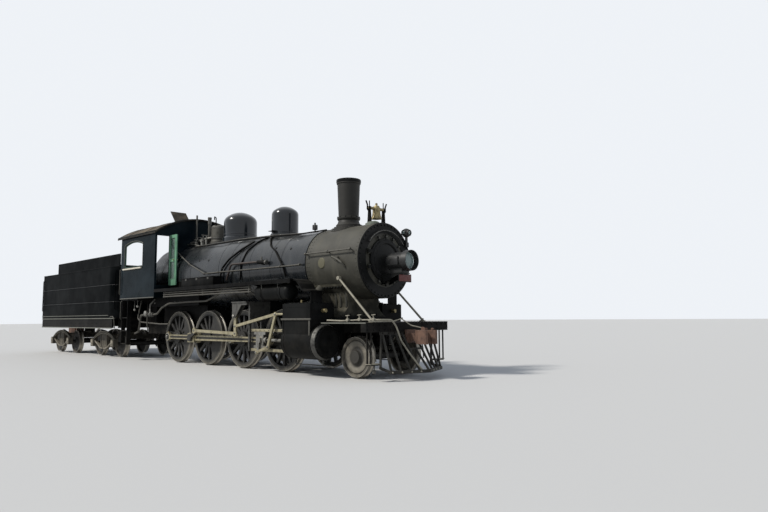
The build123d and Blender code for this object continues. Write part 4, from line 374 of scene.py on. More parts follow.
NODE_FINISHES = (
    (FRAME, "main_frames pilot_beam firebox bell_stand running_boards cab_deck driver_brakes "
        "drawbar_pin pilot_truck tender_frame"),
    (PILOT_BARS, "pilot"),
    (RUST, "front_coupler rear_coupler"),
    (CYLINDERS, "cylinders_and_saddle"),
    (DULL_STEEL, "motion_brackets"),
    (ROD, "valve_gear side_rod_right side_rod_left main_rod_right main_rod_left"),
    (SMOKEBOX, "smokebox"),
    (FRONT_BLACK, "smokebox_door"),
    (LAMP, "headlight marker_lamp"),
    (JACKET, "boiler_jacket"),
    (CASTING, "backhead air_tanks air_pump"),
    (STACK, "smokestack"),
    (DOME, "sand_dome steam_dome"),
    (PIPE_GREY, "turret cooling_pipes handrails"),
    (BRASS, "bell"),
    (PALE_PIPE, "brace_rods"),
    (CAB, "cab_sides cab_front"),
    (ROOF, "cab_roof roof_hatch"),
    (DOOR, "cab_door_right cab_door_left"),
    (STEEL, "crosshead_right crosshead_left"),
    (TENDER, "tender_tank tender_filler_lid"),
    (TRUCK, "tender_truck_front tender_truck_rear"),
)
for finish, nodes in NODE_FINISHES:
    for node in nodes.split():
        paint_node(node, finish)
for number, pitches in DRIVER_PLACES:
    paint_node(f"driver_wheelset_{number}", wheel_finish(f"driver_{number}", MAIN_X + pitches * DRIVER_PITCH,
        DRIVER_Z, DRIVER_R, DRIVER_R - 0.075, DRIVER_WEB, DRIVER_RIM))
PILOT_WHEEL = wheel_finish("pilot_wheel", PILOT_X, TRUCK_Z, TRUCK_R, 0.352, PILOT_WEB, PILOT_RIM, 0.18)
paint_node("pilot_wheelset", PILOT_WHEEL)
tender_axles = [(centre + d * TRUCK_BASE / 2) for _, centre in TENDER_TRUCKS for d in (1, -1)]
TENDER_WHEELS = []
for number, axle_x in enumerate(tender_axles, 1):
    TENDER_WHEELS.append(wheel_finish(f"tender_wheel_{number}", axle_x, TRUCK_Z, TRUCK_R, 0.352, PLATE_WEB,
        PLATE_RIM, 0.15))
    paint_node(f"tender_wheelset_{number}", TENDER_WHEELS[-1])


# Making pieces

def pick(*objects):
    """Selects only these objects."""
    bpy.ops.object.select_all(action="DESELECT")
    for obj in objects:
        obj.select_set(True)
    bpy.context.view_layer.objects.active = objects[0]


def settle(obj, name, finish, body):
    """Applies a piece's place, names and finishes it, and lets it ride on a body."""
    pick(obj)
    bpy.ops.object.transform_apply(location=True, rotation=True, scale=True)
    obj.name = name
    obj.data.name = name
    obj.data.materials.clear()
    obj.data.materials.append(finish.material)
    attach(obj, body)
    return obj


def edit(obj, select="SELECT"):
    """Opens a piece for editing with all of it, or none, selected."""
    pick(obj)
    bpy.ops.object.mode_set(mode="EDIT")
    bpy.ops.mesh.select_all(action=select)


def done():
    """Closes the piece that is being edited."""
    bpy.ops.object.mode_set(mode="OBJECT")


def smooth(obj, angle=40):
    """Smooth shading up to an angle."""
    pick(obj)
    bpy.ops.object.shade_smooth_by_angle(angle=math.radians(angle))


def plate(name, low, high, finish, edge=0.004, body="engine"):
    """A plate or block between two corners with softened edges."""
    bpy.ops.object.select_all(action="DESELECT")
    low, high = Vector(low), Vector(high)
    bpy.ops.mesh.primitive_cube_add(size=1)
    obj = bpy.context.object
    obj.scale = [abs(c) for c in high - low]
    bpy.ops.object.transform_apply(location=False, rotation=False, scale=True)
    edit(obj)
    bpy.ops.mesh.bevel(offset=min(edge, min(abs(c) for c in high - low) * 0.3), segments=2)
    done()
    obj.location = (low + high) / 2
    smooth(obj)
    return settle(obj, name, finish, body)


def rod(name, start, end, radius, finish, sides=14, edge=0.15, body="engine"):
    """A straight round bar with softened ends."""
    bpy.ops.object.select_all(action="DESELECT")
    start, end = Vector(start), Vector(end)
    run = end - start
    bpy.ops.mesh.primitive_cylinder_add(vertices=sides, radius=radius, depth=run.length)
    obj = bpy.context.object
    edit(obj, "DESELECT")
    bpy.ops.mesh.select_mode(type="FACE")
    done()
    for face in obj.data.polygons:
        face.select = abs(face.normal.z) > 0.9
    pick(obj)
    bpy.ops.object.mode_set(mode="EDIT")
    bpy.ops.mesh.bevel(offset=radius * edge, segments=1, affect="EDGES")
    done()
    obj.location = (start + end) / 2
    obj.rotation_mode = "QUATERNION"
    obj.rotation_quaternion = run.to_track_quat("Z", "Y")
    smooth(obj)
    return settle(obj, name, finish, body)


def bent_pipe(name, points, radius, finish, bend=0.08, sides=3, body="engine"):
    """A pipe of straight runs and round corners."""
    bpy.ops.object.select_all(action="DESELECT")
    points = [Vector(p) for p in points]
    route = [points[0]]
    for before, here, after in zip(points, points[1:], points[2:]):
        back, ahead = (before - here), (after - here)
        reach = min(bend, back.length * 0.45, ahead.length * 0.45)
        route += [here + back.normalized() * reach, here, here + ahead.normalized() * reach]
    route.append(points[-1])
    bpy.ops.curve.primitive_nurbs_path_add()
    obj = bpy.context.object
    curve = obj.data
    curve.splines.clear()
    spline = curve.splines.new("NURBS")
    spline.points.add(len(route) - 1)
    for point, place in zip(spline.points, route):
        point.co = (*place, 1)
    spline.order_u = 3
    spline.use_endpoint_u = True
    curve.resolution_u = 5
    curve.bevel_depth = radius
    curve.bevel_resolution = sides
    curve.use_fill_caps = True
    pick(obj)
    bpy.ops.object.convert(target="MESH")
    obj = bpy.context.object
    smooth(obj, 50)
    return settle(obj, name, finish, body)


def turned(name, profile, place, axis, finish, steps=40, body="engine"):
    """A turned shape from points of radius and height, spun about an axis through a place."""
    bpy.ops.object.select_all(action="DESELECT")
    mesh = bpy.data.meshes.new(name)
    edges = [(i, i + 1) for i in range(len(profile) - 1)]
    mesh.from_pydata([(r, 0, h) for r, h in profile], edges, [])
    obj = bpy.data.objects.new(name, mesh)
    bpy.context.scene.collection.objects.link(obj)
    edit(obj)
    bpy.ops.mesh.spin(steps=steps, angle=math.radians(360), center=(0, 0, 0), axis=UP)
    bpy.ops.mesh.select_all(action="SELECT")
    bpy.ops.mesh.remove_doubles(threshold=0.0001)
    bpy.ops.mesh.normals_make_consistent(inside=False)
    done()
    obj.location = place
    obj.rotation_mode = "QUATERNION"
    obj.rotation_quaternion = Vector(axis).to_track_quat("Z", "Y")
    smooth(obj, 35)
    return settle(obj, name, finish, body)


def spread(first, name, places, finish, body):
    """Copies of one rivet or nut, one at each place and facing its own way, as one piece."""
    copies = []
    for place, facing in places:
        copy = first.copy()
        copy.data = first.data.copy()
        bpy.context.scene.collection.objects.link(copy)
        turn = Vector(facing).to_track_quat("Z", "Y").to_matrix().to_4x4()
        copy.matrix_world = Matrix.Translation(Vector(place)) @ turn
        copies.append(copy)
    bpy.data.objects.remove(first)
    pick(*copies)
    bpy.ops.object.join()
    obj = bpy.context.object
    smooth(obj, 60)
    return settle(obj, name, finish, body)


def studs(name, places, radius, finish, height=0.6, sides=8, body="engine"):
    """Round rivet heads."""
    bpy.ops.object.select_all(action="DESELECT")
    bpy.ops.mesh.primitive_uv_sphere_add(segments=sides, ring_count=4, radius=radius)
    first = bpy.context.object
    edit(first)
    bpy.ops.mesh.bisect(plane_co=(0, 0, 0), plane_no=UP, clear_inner=True)
    bpy.ops.mesh.select_all(action="SELECT")
    bpy.ops.transform.resize(value=(1, 1, height), center_override=(0, 0, 0))
    done()
    return spread(first, name, places, finish, body)


def nuts(name, places, radius, finish, height, body="engine"):
    """Hexagon nuts or bolt heads."""
    bpy.ops.object.select_all(action="DESELECT")
    bpy.ops.mesh.primitive_cylinder_add(vertices=6, radius=radius, depth=radius * height * 2)
    first = bpy.context.object
    edit(first)
    bpy.ops.mesh.bevel(offset=radius * 0.12, segments=1)
    done()
    return spread(first, name, places, finish, body)


def copied(obj, name, body, shift=(0, 0, 0), other_side=False):
    """A copy of a piece with its own mesh, moved, or mirrored to the other side first."""
    copy = obj.copy()
    copy.data = obj.data.copy()
    copy.name = name
    copy.data.name = name
    bpy.context.scene.collection.objects.link(copy)
    if other_side:
        copy.data.transform(Matrix.Scale(-1, 4, (0, 1, 0)))
        copy.data.flip_normals()
    copy.data.transform(Matrix.Translation(shift))
    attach(copy, body)
    return copy


def on_both(make, name, *rest, body="engine"):
    """Makes a piece on the right side and mirrors it to the left."""
    piece = make(name, *rest, body=body)
    copied(piece, name.replace("right", "left"), body, other_side=True)
    return piece


def on_trucks(make, name, *rest):
    """Makes a piece on the front tender truck's right side, for its left side and the rear truck too."""
    piece = make(name, *rest, body=TRUCK_BODY)
    shift = (TENDER_TRUCKS[1][1] - TENDER_TRUCKS[0][1], 0, 0)
    rear = copied(piece, name.replace("front", "rear"), TRUCK_BODY.replace("front", "rear"), shift)
    copied(piece, name.replace("right", "left"), TRUCK_BODY, other_side=True)
    copied(rear, rear.name.replace("right", "left"), TRUCK_BODY.replace("front", "rear"), other_side=True)


def at(x, y, z):
    """A place whose X is counted from the main driving axle."""
    return MAIN_X + x, y, z


def ring(centre, radius, count, axis, start=0.0, end=360.0, facing=None):
    """Places round a circle about X, Y or Z, facing outwards unless told."""
    places = []
    full = abs(end - start) > 359
    for i in range(count):
        share = i / count if full else i / max(1, count - 1)
        angle = math.radians(start + (end - start) * share)
        c, s = math.cos(angle), math.sin(angle)
        out = {"X": (0, c, s), "Y": (c, 0, s), "Z": (c, s, 0)}[axis]
        place = Vector(centre) + radius * Vector(out)
        places.append((place, facing or out))
    return places


def row(start, end, count, facing):
    """Places in a straight row."""
    start, end = Vector(start), Vector(end)
    return [(start.lerp(end, i / max(1, count - 1)), facing) for i in range(count)]


def boiler_radius(x):
    """Radius of the lagging at a station."""
    if x > SMOKEBOX_BACK:
        return SMOKEBOX_R
    share = min(max((x - TAPER_BACK) / (TAPER_FRONT - TAPER_BACK), 0), 1)
    return BARREL_R + share * (FRONT_COURSE_R - BARREL_R)


def on_boiler(x, degrees, lift=0.0):
    """A place on the boiler, with 0 at the left side, 90 on top and 180 at the right side, and its facing."""
    angle = math.radians(degrees)
    out = Vector((0, math.cos(angle), math.sin(angle)))
    return Vector((x, 0, BOILER_Z)) + out * (boiler_radius(x) + lift), out


def over(x, degrees, lift=0.0):
    """Only the place on the boiler."""
    return on_boiler(x, degrees, lift)[0]


# Smokebox front
def smokebox_details():
    """Rivet rows, the studded front ring, the door's rim, dish and dogs, and the front handrail."""
    front = SMOKEBOX_FRONT
    turned("front_ring", [(0.60, 0.0), (0.60, 0.016), (0.69, 0.022), (0.83, 0.022), (0.838, 0.014),
        (0.838, 0.0)], (front, 0, BOILER_Z), AHEAD, FRONT_BLACK, 72)
    nuts("front_ring_studs", ring((front + 0.022, 0, BOILER_Z), 0.785, 44, "X", facing=AHEAD), 0.019,
        FRONT_BLACK, 0.9)
    rows = []
    for x, count in ((front - 0.05, 60), (SMOKEBOX_BACK + 0.05, 60), (SMOKEBOX_BACK + 0.13, 60)):
        rows += [(p, f) for p, f in ring((x, 0, BOILER_Z), SMOKEBOX_R, count, "X") if p.z > BOILER_Z - 0.66]
    studs("smokebox_rivets", rows, 0.015, SMOKEBOX, 0.7)
    door = front + 0.0005
    turned("door_rim", [(0.36, 0.062), (0.385, 0.078), (0.43, 0.074), (0.445, 0.05), (0.475, 0.046),
        (0.482, 0.02)], (door, 0, BOILER_Z), AHEAD, FRONT_BLACK, 72, body=DOOR_BODY)
    turned("door_dish", [(0.0, 0.098), (0.10, 0.096), (0.20, 0.088), (0.30, 0.072), (0.36, 0.055)],
        (door, 0, BOILER_Z), AHEAD, FRONT_BLACK, 56, body=DOOR_BODY)
    for index in range(14):
        angle = math.radians(360 / 14 * (index + 0.5))
        y, z = math.cos(angle), math.sin(angle)
        if y < -0.75:
            continue
        rod(f"door_dog_{index}", (door + 0.035, y * 0.445, BOILER_Z + z * 0.445),
            (door + 0.035, y * 0.575, BOILER_Z + z * 0.575), 0.021, FRONT_BLACK, 8, body=DOOR_BODY)
    dogs = [(p, f) for p, f in ring((door + 0.056, 0, BOILER_Z), 0.525, 14, "X", 360 / 28, 360 / 28 + 360,
        AHEAD) if p.y > -0.39]
    nuts("door_dog_nuts", dogs, 0.022, DULL_STEEL, 0.9, body=DOOR_BODY)
    arc = [(front + 0.075, 0.66 * math.cos(math.radians(a)), BOILER_Z + 0.66 * math.sin(math.radians(a)))
        for a in range(35, 146, 11)]
    bent_pipe("front_handrail", arc, 0.013, DULL_STEEL, 0.05)
    studs("front_handrail_feet", [((front + 0.045, p[1], p[2]), AHEAD) for p in arc[::5]], 0.02, FRONT_BLACK,
        1.6)


smokebox_details()


# Headlight and marker lamp
def lamps():
    """Glass, reflector, blank boards and the small fittings of the lamps."""
    x0, x1 = MAIN_X + 6.13, MAIN_X + 6.60
    z = 2.468
    turned("headlight_reflector", [(0.0, -0.10), (0.07, -0.09), (0.13, -0.05), (0.172, 0.02)],
        (x1 - 0.012, 0, z), AHEAD, MIRROR, 40, body=DOOR_BODY)
    turned("headlight_lens", [(0.0, 0.020), (0.09, 0.016), (0.15, 0.006), (0.184, -0.008)],
        (x1 + 0.006, 0, z), AHEAD, LENS, 40, body=DOOR_BODY)
    turned("headlight_visor", [(0.205, -0.03), (0.226, -0.03), (0.222, 0.10), (0.212, 0.10), (0.205, -0.03)],
        (x1 + 0.01, 0, z), AHEAD, LAMP, 30, body=DOOR_BODY)
    y = -0.216
    on_both(plate, "number_board_right", (x0 + 0.065, y, z - 0.062), (x1 - 0.13, y - 0.006, z + 0.062),
        BOARD_BLACK, 0.002, body=DOOR_BODY)
    on_both(plate, "board_frame_right", (x0 + 0.045, y + 0.01, z - 0.08), (x1 - 0.115, y - 0.003, z + 0.08),
        LAMP, 0.003, body=DOOR_BODY)
    plate("front_plate_red", (x1 - 0.10, -0.19, z - 0.44), (x1 - 0.085, 0.19, z - 0.30), RED, 0.004,
        body=DOOR_BODY)
    plate("front_plate_rim", (x1 - 0.108, -0.205, z - 0.455), (x1 - 0.092, 0.205, z - 0.285), FRONT_BLACK,
        0.004, body=DOOR_BODY)
    studs("headlight_rim_nuts", ring((x1 + 0.018, 0, z), 0.206, 10, "X", facing=AHEAD), 0.009, LAMP, 0.9,
        body=DOOR_BODY)
    mx, my, mz = SMOKEBOX_FRONT + 0.04, 0.69, 3.19
    for facing in (AHEAD, (0, 1, 0), TO_RIGHT):
        place = Vector((mx, my, mz)) + Vector(facing) * 0.075
        turned(f"marker_lens_{facing[0]}_{facing[1]}", [(0.0, 0.036), (0.03, 0.03), (0.05, 0.012),
            (0.056, 0.0)], place, facing, LENS, 20)
        turned(f"marker_bezel_{facing[0]}_{facing[1]}", [(0.05, 0.0), (0.052, 0.03), (0.068, 0.028),
            (0.07, 0.0)], place, facing, LAMP, 20)


lamps()


# Stack, domes and what stands on the boiler
def stack_details():
    """The dark lip and the bolted collar of the stack, and rivets round its curved skirt."""
    turned("stack_lip", [(0.270, 4.425), (0.286, 4.43), (0.292, 4.44), (0.292, 4.496), (0.282, 4.508),
        (0.21, 4.508)], (STACK_X, 0, 0), UP, FRONT_BLACK, 56)
    turned("stack_collar", [(0.234, 3.62), (0.25, 3.612), (0.272, 3.60), (0.274, 3.575), (0.262, 3.545),
        (0.24, 3.53)], (STACK_X, 0, 0), UP, STACK, 56)
    nuts("stack_collar_nuts", ring((STACK_X, 0, 3.604), 0.262, 12, "Z", facing=UP), 0.016, FRONT_BLACK, 1.0)
    skirt = []
    for index in range(26):
        turn = 2 * math.pi * index / 26
        dx, dy = 0.405 * math.cos(turn), 0.405 * math.sin(turn)
        skirt.append(on_boiler(STACK_X + dx, math.degrees(math.acos(dy / SMOKEBOX_R)), 0.017))
    studs("stack_skirt_rivets", skirt, 0.014, SMOKEBOX, 0.8)


def dome_details():
    """Beads round the two domes, and a step beside the sand dome."""
    for name, x, radius, base_z in (("sand", SAND_DOME_X, 0.349, 3.44), ("steam", STEAM_DOME_X, 0.464, 3.60)):
        turned(f"{name}_dome_bead", [(radius, base_z + 0.03), (radius + 0.007, base_z + 0.04),
            (radius, base_z + 0.05)], (x, 0, 0), UP, DOME, 56)
    plate("sand_dome_step_right", (SAND_DOME_X - 0.11, -0.46, 3.50), (SAND_DOME_X + 0.11, -0.335, 3.512),
        FRAME, 0.003)


def boiler_bands():
    """Thin bands and joint lines round the lagging, with their clips."""
    for index, dx in enumerate((-0.75, 0.72, 1.2, 2.05, 2.85)):
        x = MAIN_X + dx
        r0, r1 = boiler_radius(x - 0.022), boiler_radius(x + 0.022)
        turned(f"lagging_band_{index}", [(r0 - 0.004, -0.022), (r0 + 0.0045, -0.021), (r1 + 0.0045, 0.021),
            (r1 - 0.004, 0.022)], (x, 0, BOILER_Z), AHEAD, JACKET, 72)
    plugs = []
    for x, angle in ((-1.0, 158), (-0.35, 158), (0.15, 160), (1.55, 150), (2.95, 148), (3.55, 152),
            (-1.0, 22), (0.15, 20), (1.55, 30), (2.95, 32)):
        place, out = on_boiler(MAIN_X + x, angle)
        plugs.append((place, out))
    studs("washout_plugs", plugs, 0.035, FRONT_BLACK, 0.5, 12)
    screws = []
    for dx in (1.6, 3.25, 4.16):
        x = MAIN_X + dx
        screws += ring((x, 0, BOILER_Z), boiler_radius(x) + 0.005, 28, "X", 2, 358)
    studs("band_screws", screws, 0.011, DULL_STEEL, 0.6, 6)


def boiler_pipes():
    """Pipes, valves and rods laid along the boiler."""
    runs = (
        ("top_conduit", [(-1.15, 128, 0.05), (0.3, 128, 0.05), (1.2, 125, 0.05), (2.3, 122, 0.06),
            (3.3, 118, 0.05), (4.42, 116, 0.05)], 0.017, FRAME),
        ("top_rod", [(-1.2, 121, 0.03), (0.9, 120, 0.03), (2.4, 113, 0.05), (3.4, 112, 0.04)],
            0.011, DULL_STEEL),
        ("feed_pipe_right", [(1.89, 131, 0.04), (1.59, 147, 0.04), (1.24, 163, 0.05), (1.0, 176, 0.05),
            (0.9, 190, 0.06), (0.85, 203, 0.07)], 0.026, FRAME),
        ("sand_pipe_right", [(2.33, 112, 0.03), (2.45, 126, 0.03), (2.72, 144, 0.03), (3.02, 155, 0.03),
            (3.31, 174, 0.03), (3.41, 182, 0.03), (3.47, 198, 0.04)], 0.021, FRAME),
        ("sand_pipe_right_rear", [(2.28, 112, 0.03), (2.05, 130, 0.03), (1.85, 150, 0.03),
            (1.75, 172, 0.03), (1.72, 196, 0.04)], 0.019, FRAME),
        ("sand_pipe_left", [(2.33, 68, 0.03), (2.45, 54, 0.03), (2.72, 36, 0.03), (3.31, 6, 0.03),
            (3.47, -18, 0.04)], 0.021, FRAME),
        ("pump_steam_pipe", [(-0.6, 66, 0.05), (1.2, 58, 0.05), (2.5, 40, 0.06), (2.85, 38, 0.14)],
            0.03, FRAME),
        ("blower_pipe", [(-1.2, 40, 0.04), (0.8, 42, 0.04), (3.3, 40, 0.04), (4.3, 42, 0.05)],
            0.017, FRAME),
    )
    for name, stations, radius, finish in runs:
        bent_pipe(name, [over(MAIN_X + x, angle, lift) for x, angle, lift in stations], radius, finish, 0.16)
    x, angle = MAIN_X + 2.62, 172
    centre, out = on_boiler(x, angle, 0.06)
    foot = on_boiler(x, angle, -0.01)[0]
    on_both(rod, "check_valve_seat_right", foot, centre, 0.062, FRAME, 16)
    on_both(rod, "check_valve_body_right", centre + Vector((-0.16, 0, 0.012)),
        centre + Vector((0.17, 0, -0.015)), 0.045, FRAME, 16)
    on_both(rod, "check_valve_cap_right", centre + Vector((0.165, 0, -0.015)),
        centre + Vector((0.225, 0, -0.02)), 0.06, DULL_STEEL, 8)
    on_both(rod, "check_valve_stem_right", centre, centre + Vector((0, 0, 0.13)), 0.022, DULL_STEEL, 10)
    down = [centre + Vector((-0.15, 0, 0.01)), over(MAIN_X + 2.2, angle, 0.09),
        over(MAIN_X + 1.4, angle, 0.08), over(MAIN_X + 1.2, 194, 0.08)]
    on_both(bent_pipe, "check_valve_pipe_right", down, 0.027, COPPER, 0.2)


def turret_details():
    """Valves, hand wheels and pipes of the steam turret."""
    x = MAIN_X - 0.88
    turned("turret_cap", [(0.0, 4.052), (0.10, 4.05), (0.17, 4.03), (0.235, 3.985), (0.242, 3.96),
        (0.235, 3.93)], (x, 0, 0), UP, DULL_STEEL, 40)
    turned("turret_band", [(0.235, 3.62), (0.25, 3.625), (0.25, 3.655), (0.235, 3.66)], (x, 0, 0), UP,
        DULL_STEEL, 40)
    for index, (dx, y, z) in enumerate(((-0.30, -0.26, 3.62), (-0.42, -0.34, 3.55), (-0.55, -0.22, 3.66),
            (-0.70, -0.36, 3.52), (-0.82, -0.26, 3.60), (-0.62, 0.36, 3.55))):
        place = Vector((x + dx, y, z))
        rod(f"turret_valve_{index}", place - Vector((0, 0, 0.16)), place, 0.034, STEEL, 12)
        rod(f"turret_bonnet_{index}", place, place + Vector((0, 0, 0.05)), 0.048, STEEL, 6)
        rod(f"turret_spindle_{index}", place + Vector((0, 0, 0.04)), place + Vector((0, 0, 0.13)), 0.011,
            STEEL, 8)
        turned(f"turret_wheel_{index}", [(0.05, -0.007), (0.06, -0.008), (0.067, 0.0), (0.06, 0.008),
            (0.05, 0.007), (0.05, -0.007)], place + Vector((0, 0, 0.125)), UP, DULL_STEEL, 18)
    bent_pipe("turret_main", [(x - 0.2, -0.02, 3.70), (x - 0.45, -0.16, 3.66), (x - 0.9, -0.30, 3.58),
        (CAB_FRONT + 0.02, -0.34, 3.56)], 0.05, DULL_STEEL, 0.2)
    for index, (y, z) in enumerate(((-0.45, 3.50), (-0.2, 3.66), (0.12, 3.70), (0.36, 3.6))):
        bent_pipe(f"turret_branch_{index}", [(x - 0.5, y * 0.8, z - 0.06), (x - 0.75, y, z),
            (CAB_FRONT + 0.01, y, z + 0.03)], 0.02, DULL_STEEL, 0.12)
    bx, by = x - 0.5, -0.04
    turned("whistle_bell", [(0.0, 4.345), (0.035, 4.34), (0.052, 4.32), (0.054, 4.12), (0.049, 4.115)],
        (bx, by, 0), UP, DULL_STEEL, 24)
    turned("safety_valve_collar", [(0.055, 4.06), (0.07, 4.07), (0.07, 4.105), (0.05, 4.125), (0.02, 4.13)],
        (bx, 0.2, 0), UP, BRASS, 24)
    bent_pipe("turret_bent_pipe", [(x + 0.10, -0.18, 4.00), (x + 0.10, -0.18, 4.24), (x + 0.01, -0.18, 4.29),
        (x + 0.01, -0.18, 4.19)], 0.016, FRAME, 0.05)


stack_details()
dome_details()
boiler_bands()
boiler_pipes()
turret_details()


# Smokebox sides and the saddle
def smokebox_side():
    """The hand hole lid, the elbow and the bolts of the saddle flange."""
    lid_finish = plain("hand_hole_lid", "smokebox_grey", "#55523f", 0.65)
    lid, out = on_boiler(MAIN_X + 4.76, 182.4)
    on_both(turned, "hand_hole_lid_right", [(0.0, 0.022), (0.07, 0.021), (0.108, 0.016), (0.124, 0.0)],
        lid - out * 0.006, out, lid_finish, 36)
    elbow, facing = on_boiler(MAIN_X + 5.30, 178, 0.03)
    on_both(rod, "smokebox_elbow_right", elbow - facing * 0.05, elbow + facing * 0.03, 0.055, SMOKEBOX, 16)
    on_both(bent_pipe, "smokebox_elbow_pipe_right", [elbow + facing * 0.02 + Vector((-0.14, 0, 0.05)),
        elbow + facing * 0.02 + Vector((0.04, 0, -0.02)), elbow + facing * 0.02 + Vector((0.17, 0, -0.10)),
        elbow + Vector((0.22, 0, -0.19)) - facing * 0.03], 0.028, SMOKEBOX, 0.07)
    seam = [on_boiler(MAIN_X + 4.32 + 1.45 * i / 22, 118) for i in range(23)]
    on_both(studs, "smokebox_seam_right", seam, 0.013, SMOKEBOX, 0.7)
    turn = 180 + math.degrees(math.acos(0.625 / SMOKEBOX_R))
    flange = [on_boiler(MAIN_X + 4.345 + 0.86 * i / 9, turn, 0.038) for i in range(10)]
    on_both(nuts, "saddle_flange_nuts_right", flange, 0.026, FRONT_BLACK, 0.8)


def saddle_details():
    """Ribs and steam pipes on the flanks of the saddle, and bolts on its front."""
    for index, x in enumerate((4.36, 4.87, 5.01, 5.20)):
        on_both(rod, f"saddle_rib_right_{index}", at(x, -0.478, 1.50), at(x, -0.495, 1.87), 0.036, SMOKEBOX,
            10)
    on_both(bent_pipe, "steam_pipe_right", [at(4.48, -0.60, 1.93), at(4.52, -0.74, 1.80),
        at(4.66, -0.92, 1.68), at(4.70, -0.98, 1.585)], 0.11, SMOKEBOX, 0.2, 4)
    on_both(turned, "steam_pipe_flange_right", [(0.11, 0.0), (0.165, 0.0), (0.165, 0.035), (0.11, 0.04)],
        at(4.70, -0.98, CHEST_TOP), UP, CASTING, 32)
    on_both(nuts, "steam_pipe_nuts_right", ring(at(4.70, -0.98, 1.614), 0.14, 8, "Z", facing=UP), 0.018,
        FRONT_BLACK, 0.9)
    front = [(at(5.25, y, z), AHEAD) for y in (-0.42, -0.21, 0.0, 0.21, 0.42) for z in (1.22, 1.34)]
    nuts("saddle_front_bolts", front, 0.022, CASTING, 0.8)


smokebox_side()
saddle_details()


# Cylinders and steam chests
def cylinder_details():
    """Head rings, nuts, cocks and the chest lid of each cylinder."""
    y = -MOTION_Y
    front = MAIN_X + 5.255
    on_both(turned, "cylinder_front_rim_right", [(0.352, 0.0), (0.366, -0.01), (0.379, -0.052),
        (0.3845, -0.062), (0.3845, -0.10), (0.379, -0.104), (0.352, -0.104), (0.352, 0.0)],
        (front, y, DRIVER_Z), AHEAD, DULL_STEEL, 56)
    on_both(turned, "cylinder_front_head_right", [(0.0, 0.026), (0.07, 0.025), (0.09, 0.012), (0.22, 0.010),
        (0.25, 0.022), (0.30, 0.020), (0.318, 0.002), (0.0, 0.002)], (front, y, DRIVER_Z), AHEAD, CASTING, 56)
    on_both(nuts, "cylinder_head_nuts_right", ring((front + 0.012, y, DRIVER_Z), 0.326, 16, "X",
        facing=AHEAD), 0.017, CASTING, 0.9)
    on_both(nuts, "cylinder_back_nuts_right", ring(at(3.998, y, DRIVER_Z), 0.215, 14, "X", facing=BACK),
        0.017, CASTING, 0.9)
    chest_nuts = []
    for x in (4.19, 5.06):
        chest_nuts += row(at(x, -0.81, CHEST_TOP), at(x, -1.40, CHEST_TOP), 6, UP)
    for cy in (0.81, 1.40):
        chest_nuts += row(at(4.30, -cy, CHEST_TOP), at(4.95, -cy, CHEST_TOP), 6, UP)
    on_both(nuts, "chest_lid_nuts_right", chest_nuts, 0.018, CASTING, 1.0)
    on_both(plate, "chest_lid_right", at(4.235, -0.86, 1.575), at(5.015, -1.355, 1.60), CASTING, 0.01)
    for index, dx in enumerate((4.20, 5.12)):
        on_both(plate, f"cylinder_jacket_band_right_{index}", at(dx - 0.02, y - 0.02, DRIVER_Z - 0.392),
            at(dx + 0.02, y + 0.02, DRIVER_Z - 0.37), CASTING, 0.003)
        on_both(turned, f"cylinder_band_right_{index}", [(0.379, -0.02), (0.3865, -0.018), (0.3865, 0.018),
            (0.379, 0.02), (0.379, -0.02)], at(dx, y, DRIVER_Z), AHEAD, CASTING, 56)
        on_both(rod, f"drain_cock_right_{index}", at(dx, y, DRIVER_Z - 0.47), at(dx, y, DRIVER_Z - 0.37),
            0.02, DULL_STEEL, 10)
    on_both(bent_pipe, "drain_pipe_right", [at(4.2, y, 0.30), at(4.2, y, 0.255), at(5.35, y, 0.255),
        at(5.5, y - 0.03, 0.235)], 0.012, DULL_STEEL, 0.05)
    seam = row(at(4.24, -1.442, 1.50), at(5.02, -1.442, 1.50), 12, TO_RIGHT)
    on_both(studs, "chest_side_screws_right", seam, 0.012, CASTING, 0.7, 6)
    on_both(rod, "relief_valve_right", at(5.10, -1.10, 1.42), at(5.22, -1.10, 1.42), 0.045, BRASS, 14)
    on_both(rod, "lubricator_feed_right", at(4.55, -1.22, 1.60), at(4.55, -1.22, 1.66), 0.028, BRASS, 12)
    # The top and front strips of the casing are pale grey as a painted highlight of their lit edges; the back
    # strip keeps the casting's black.
    on_both(plate, "casing_top_strip_right", at(4.12, -1.440, 1.222), at(5.13, -1.466, 1.262), PIPE_GREY,
        0.004)
    on_both(plate, "casing_front_strip_right", at(5.045, -1.425, 0.90), at(5.085, -1.442, 1.23), PIPE_GREY,
        0.004)
    on_both(plate, "casing_back_strip_right", at(4.145, -1.425, 0.90), at(4.175, -1.442, 1.23), CASTING,
        0.004)


cylinder_details()


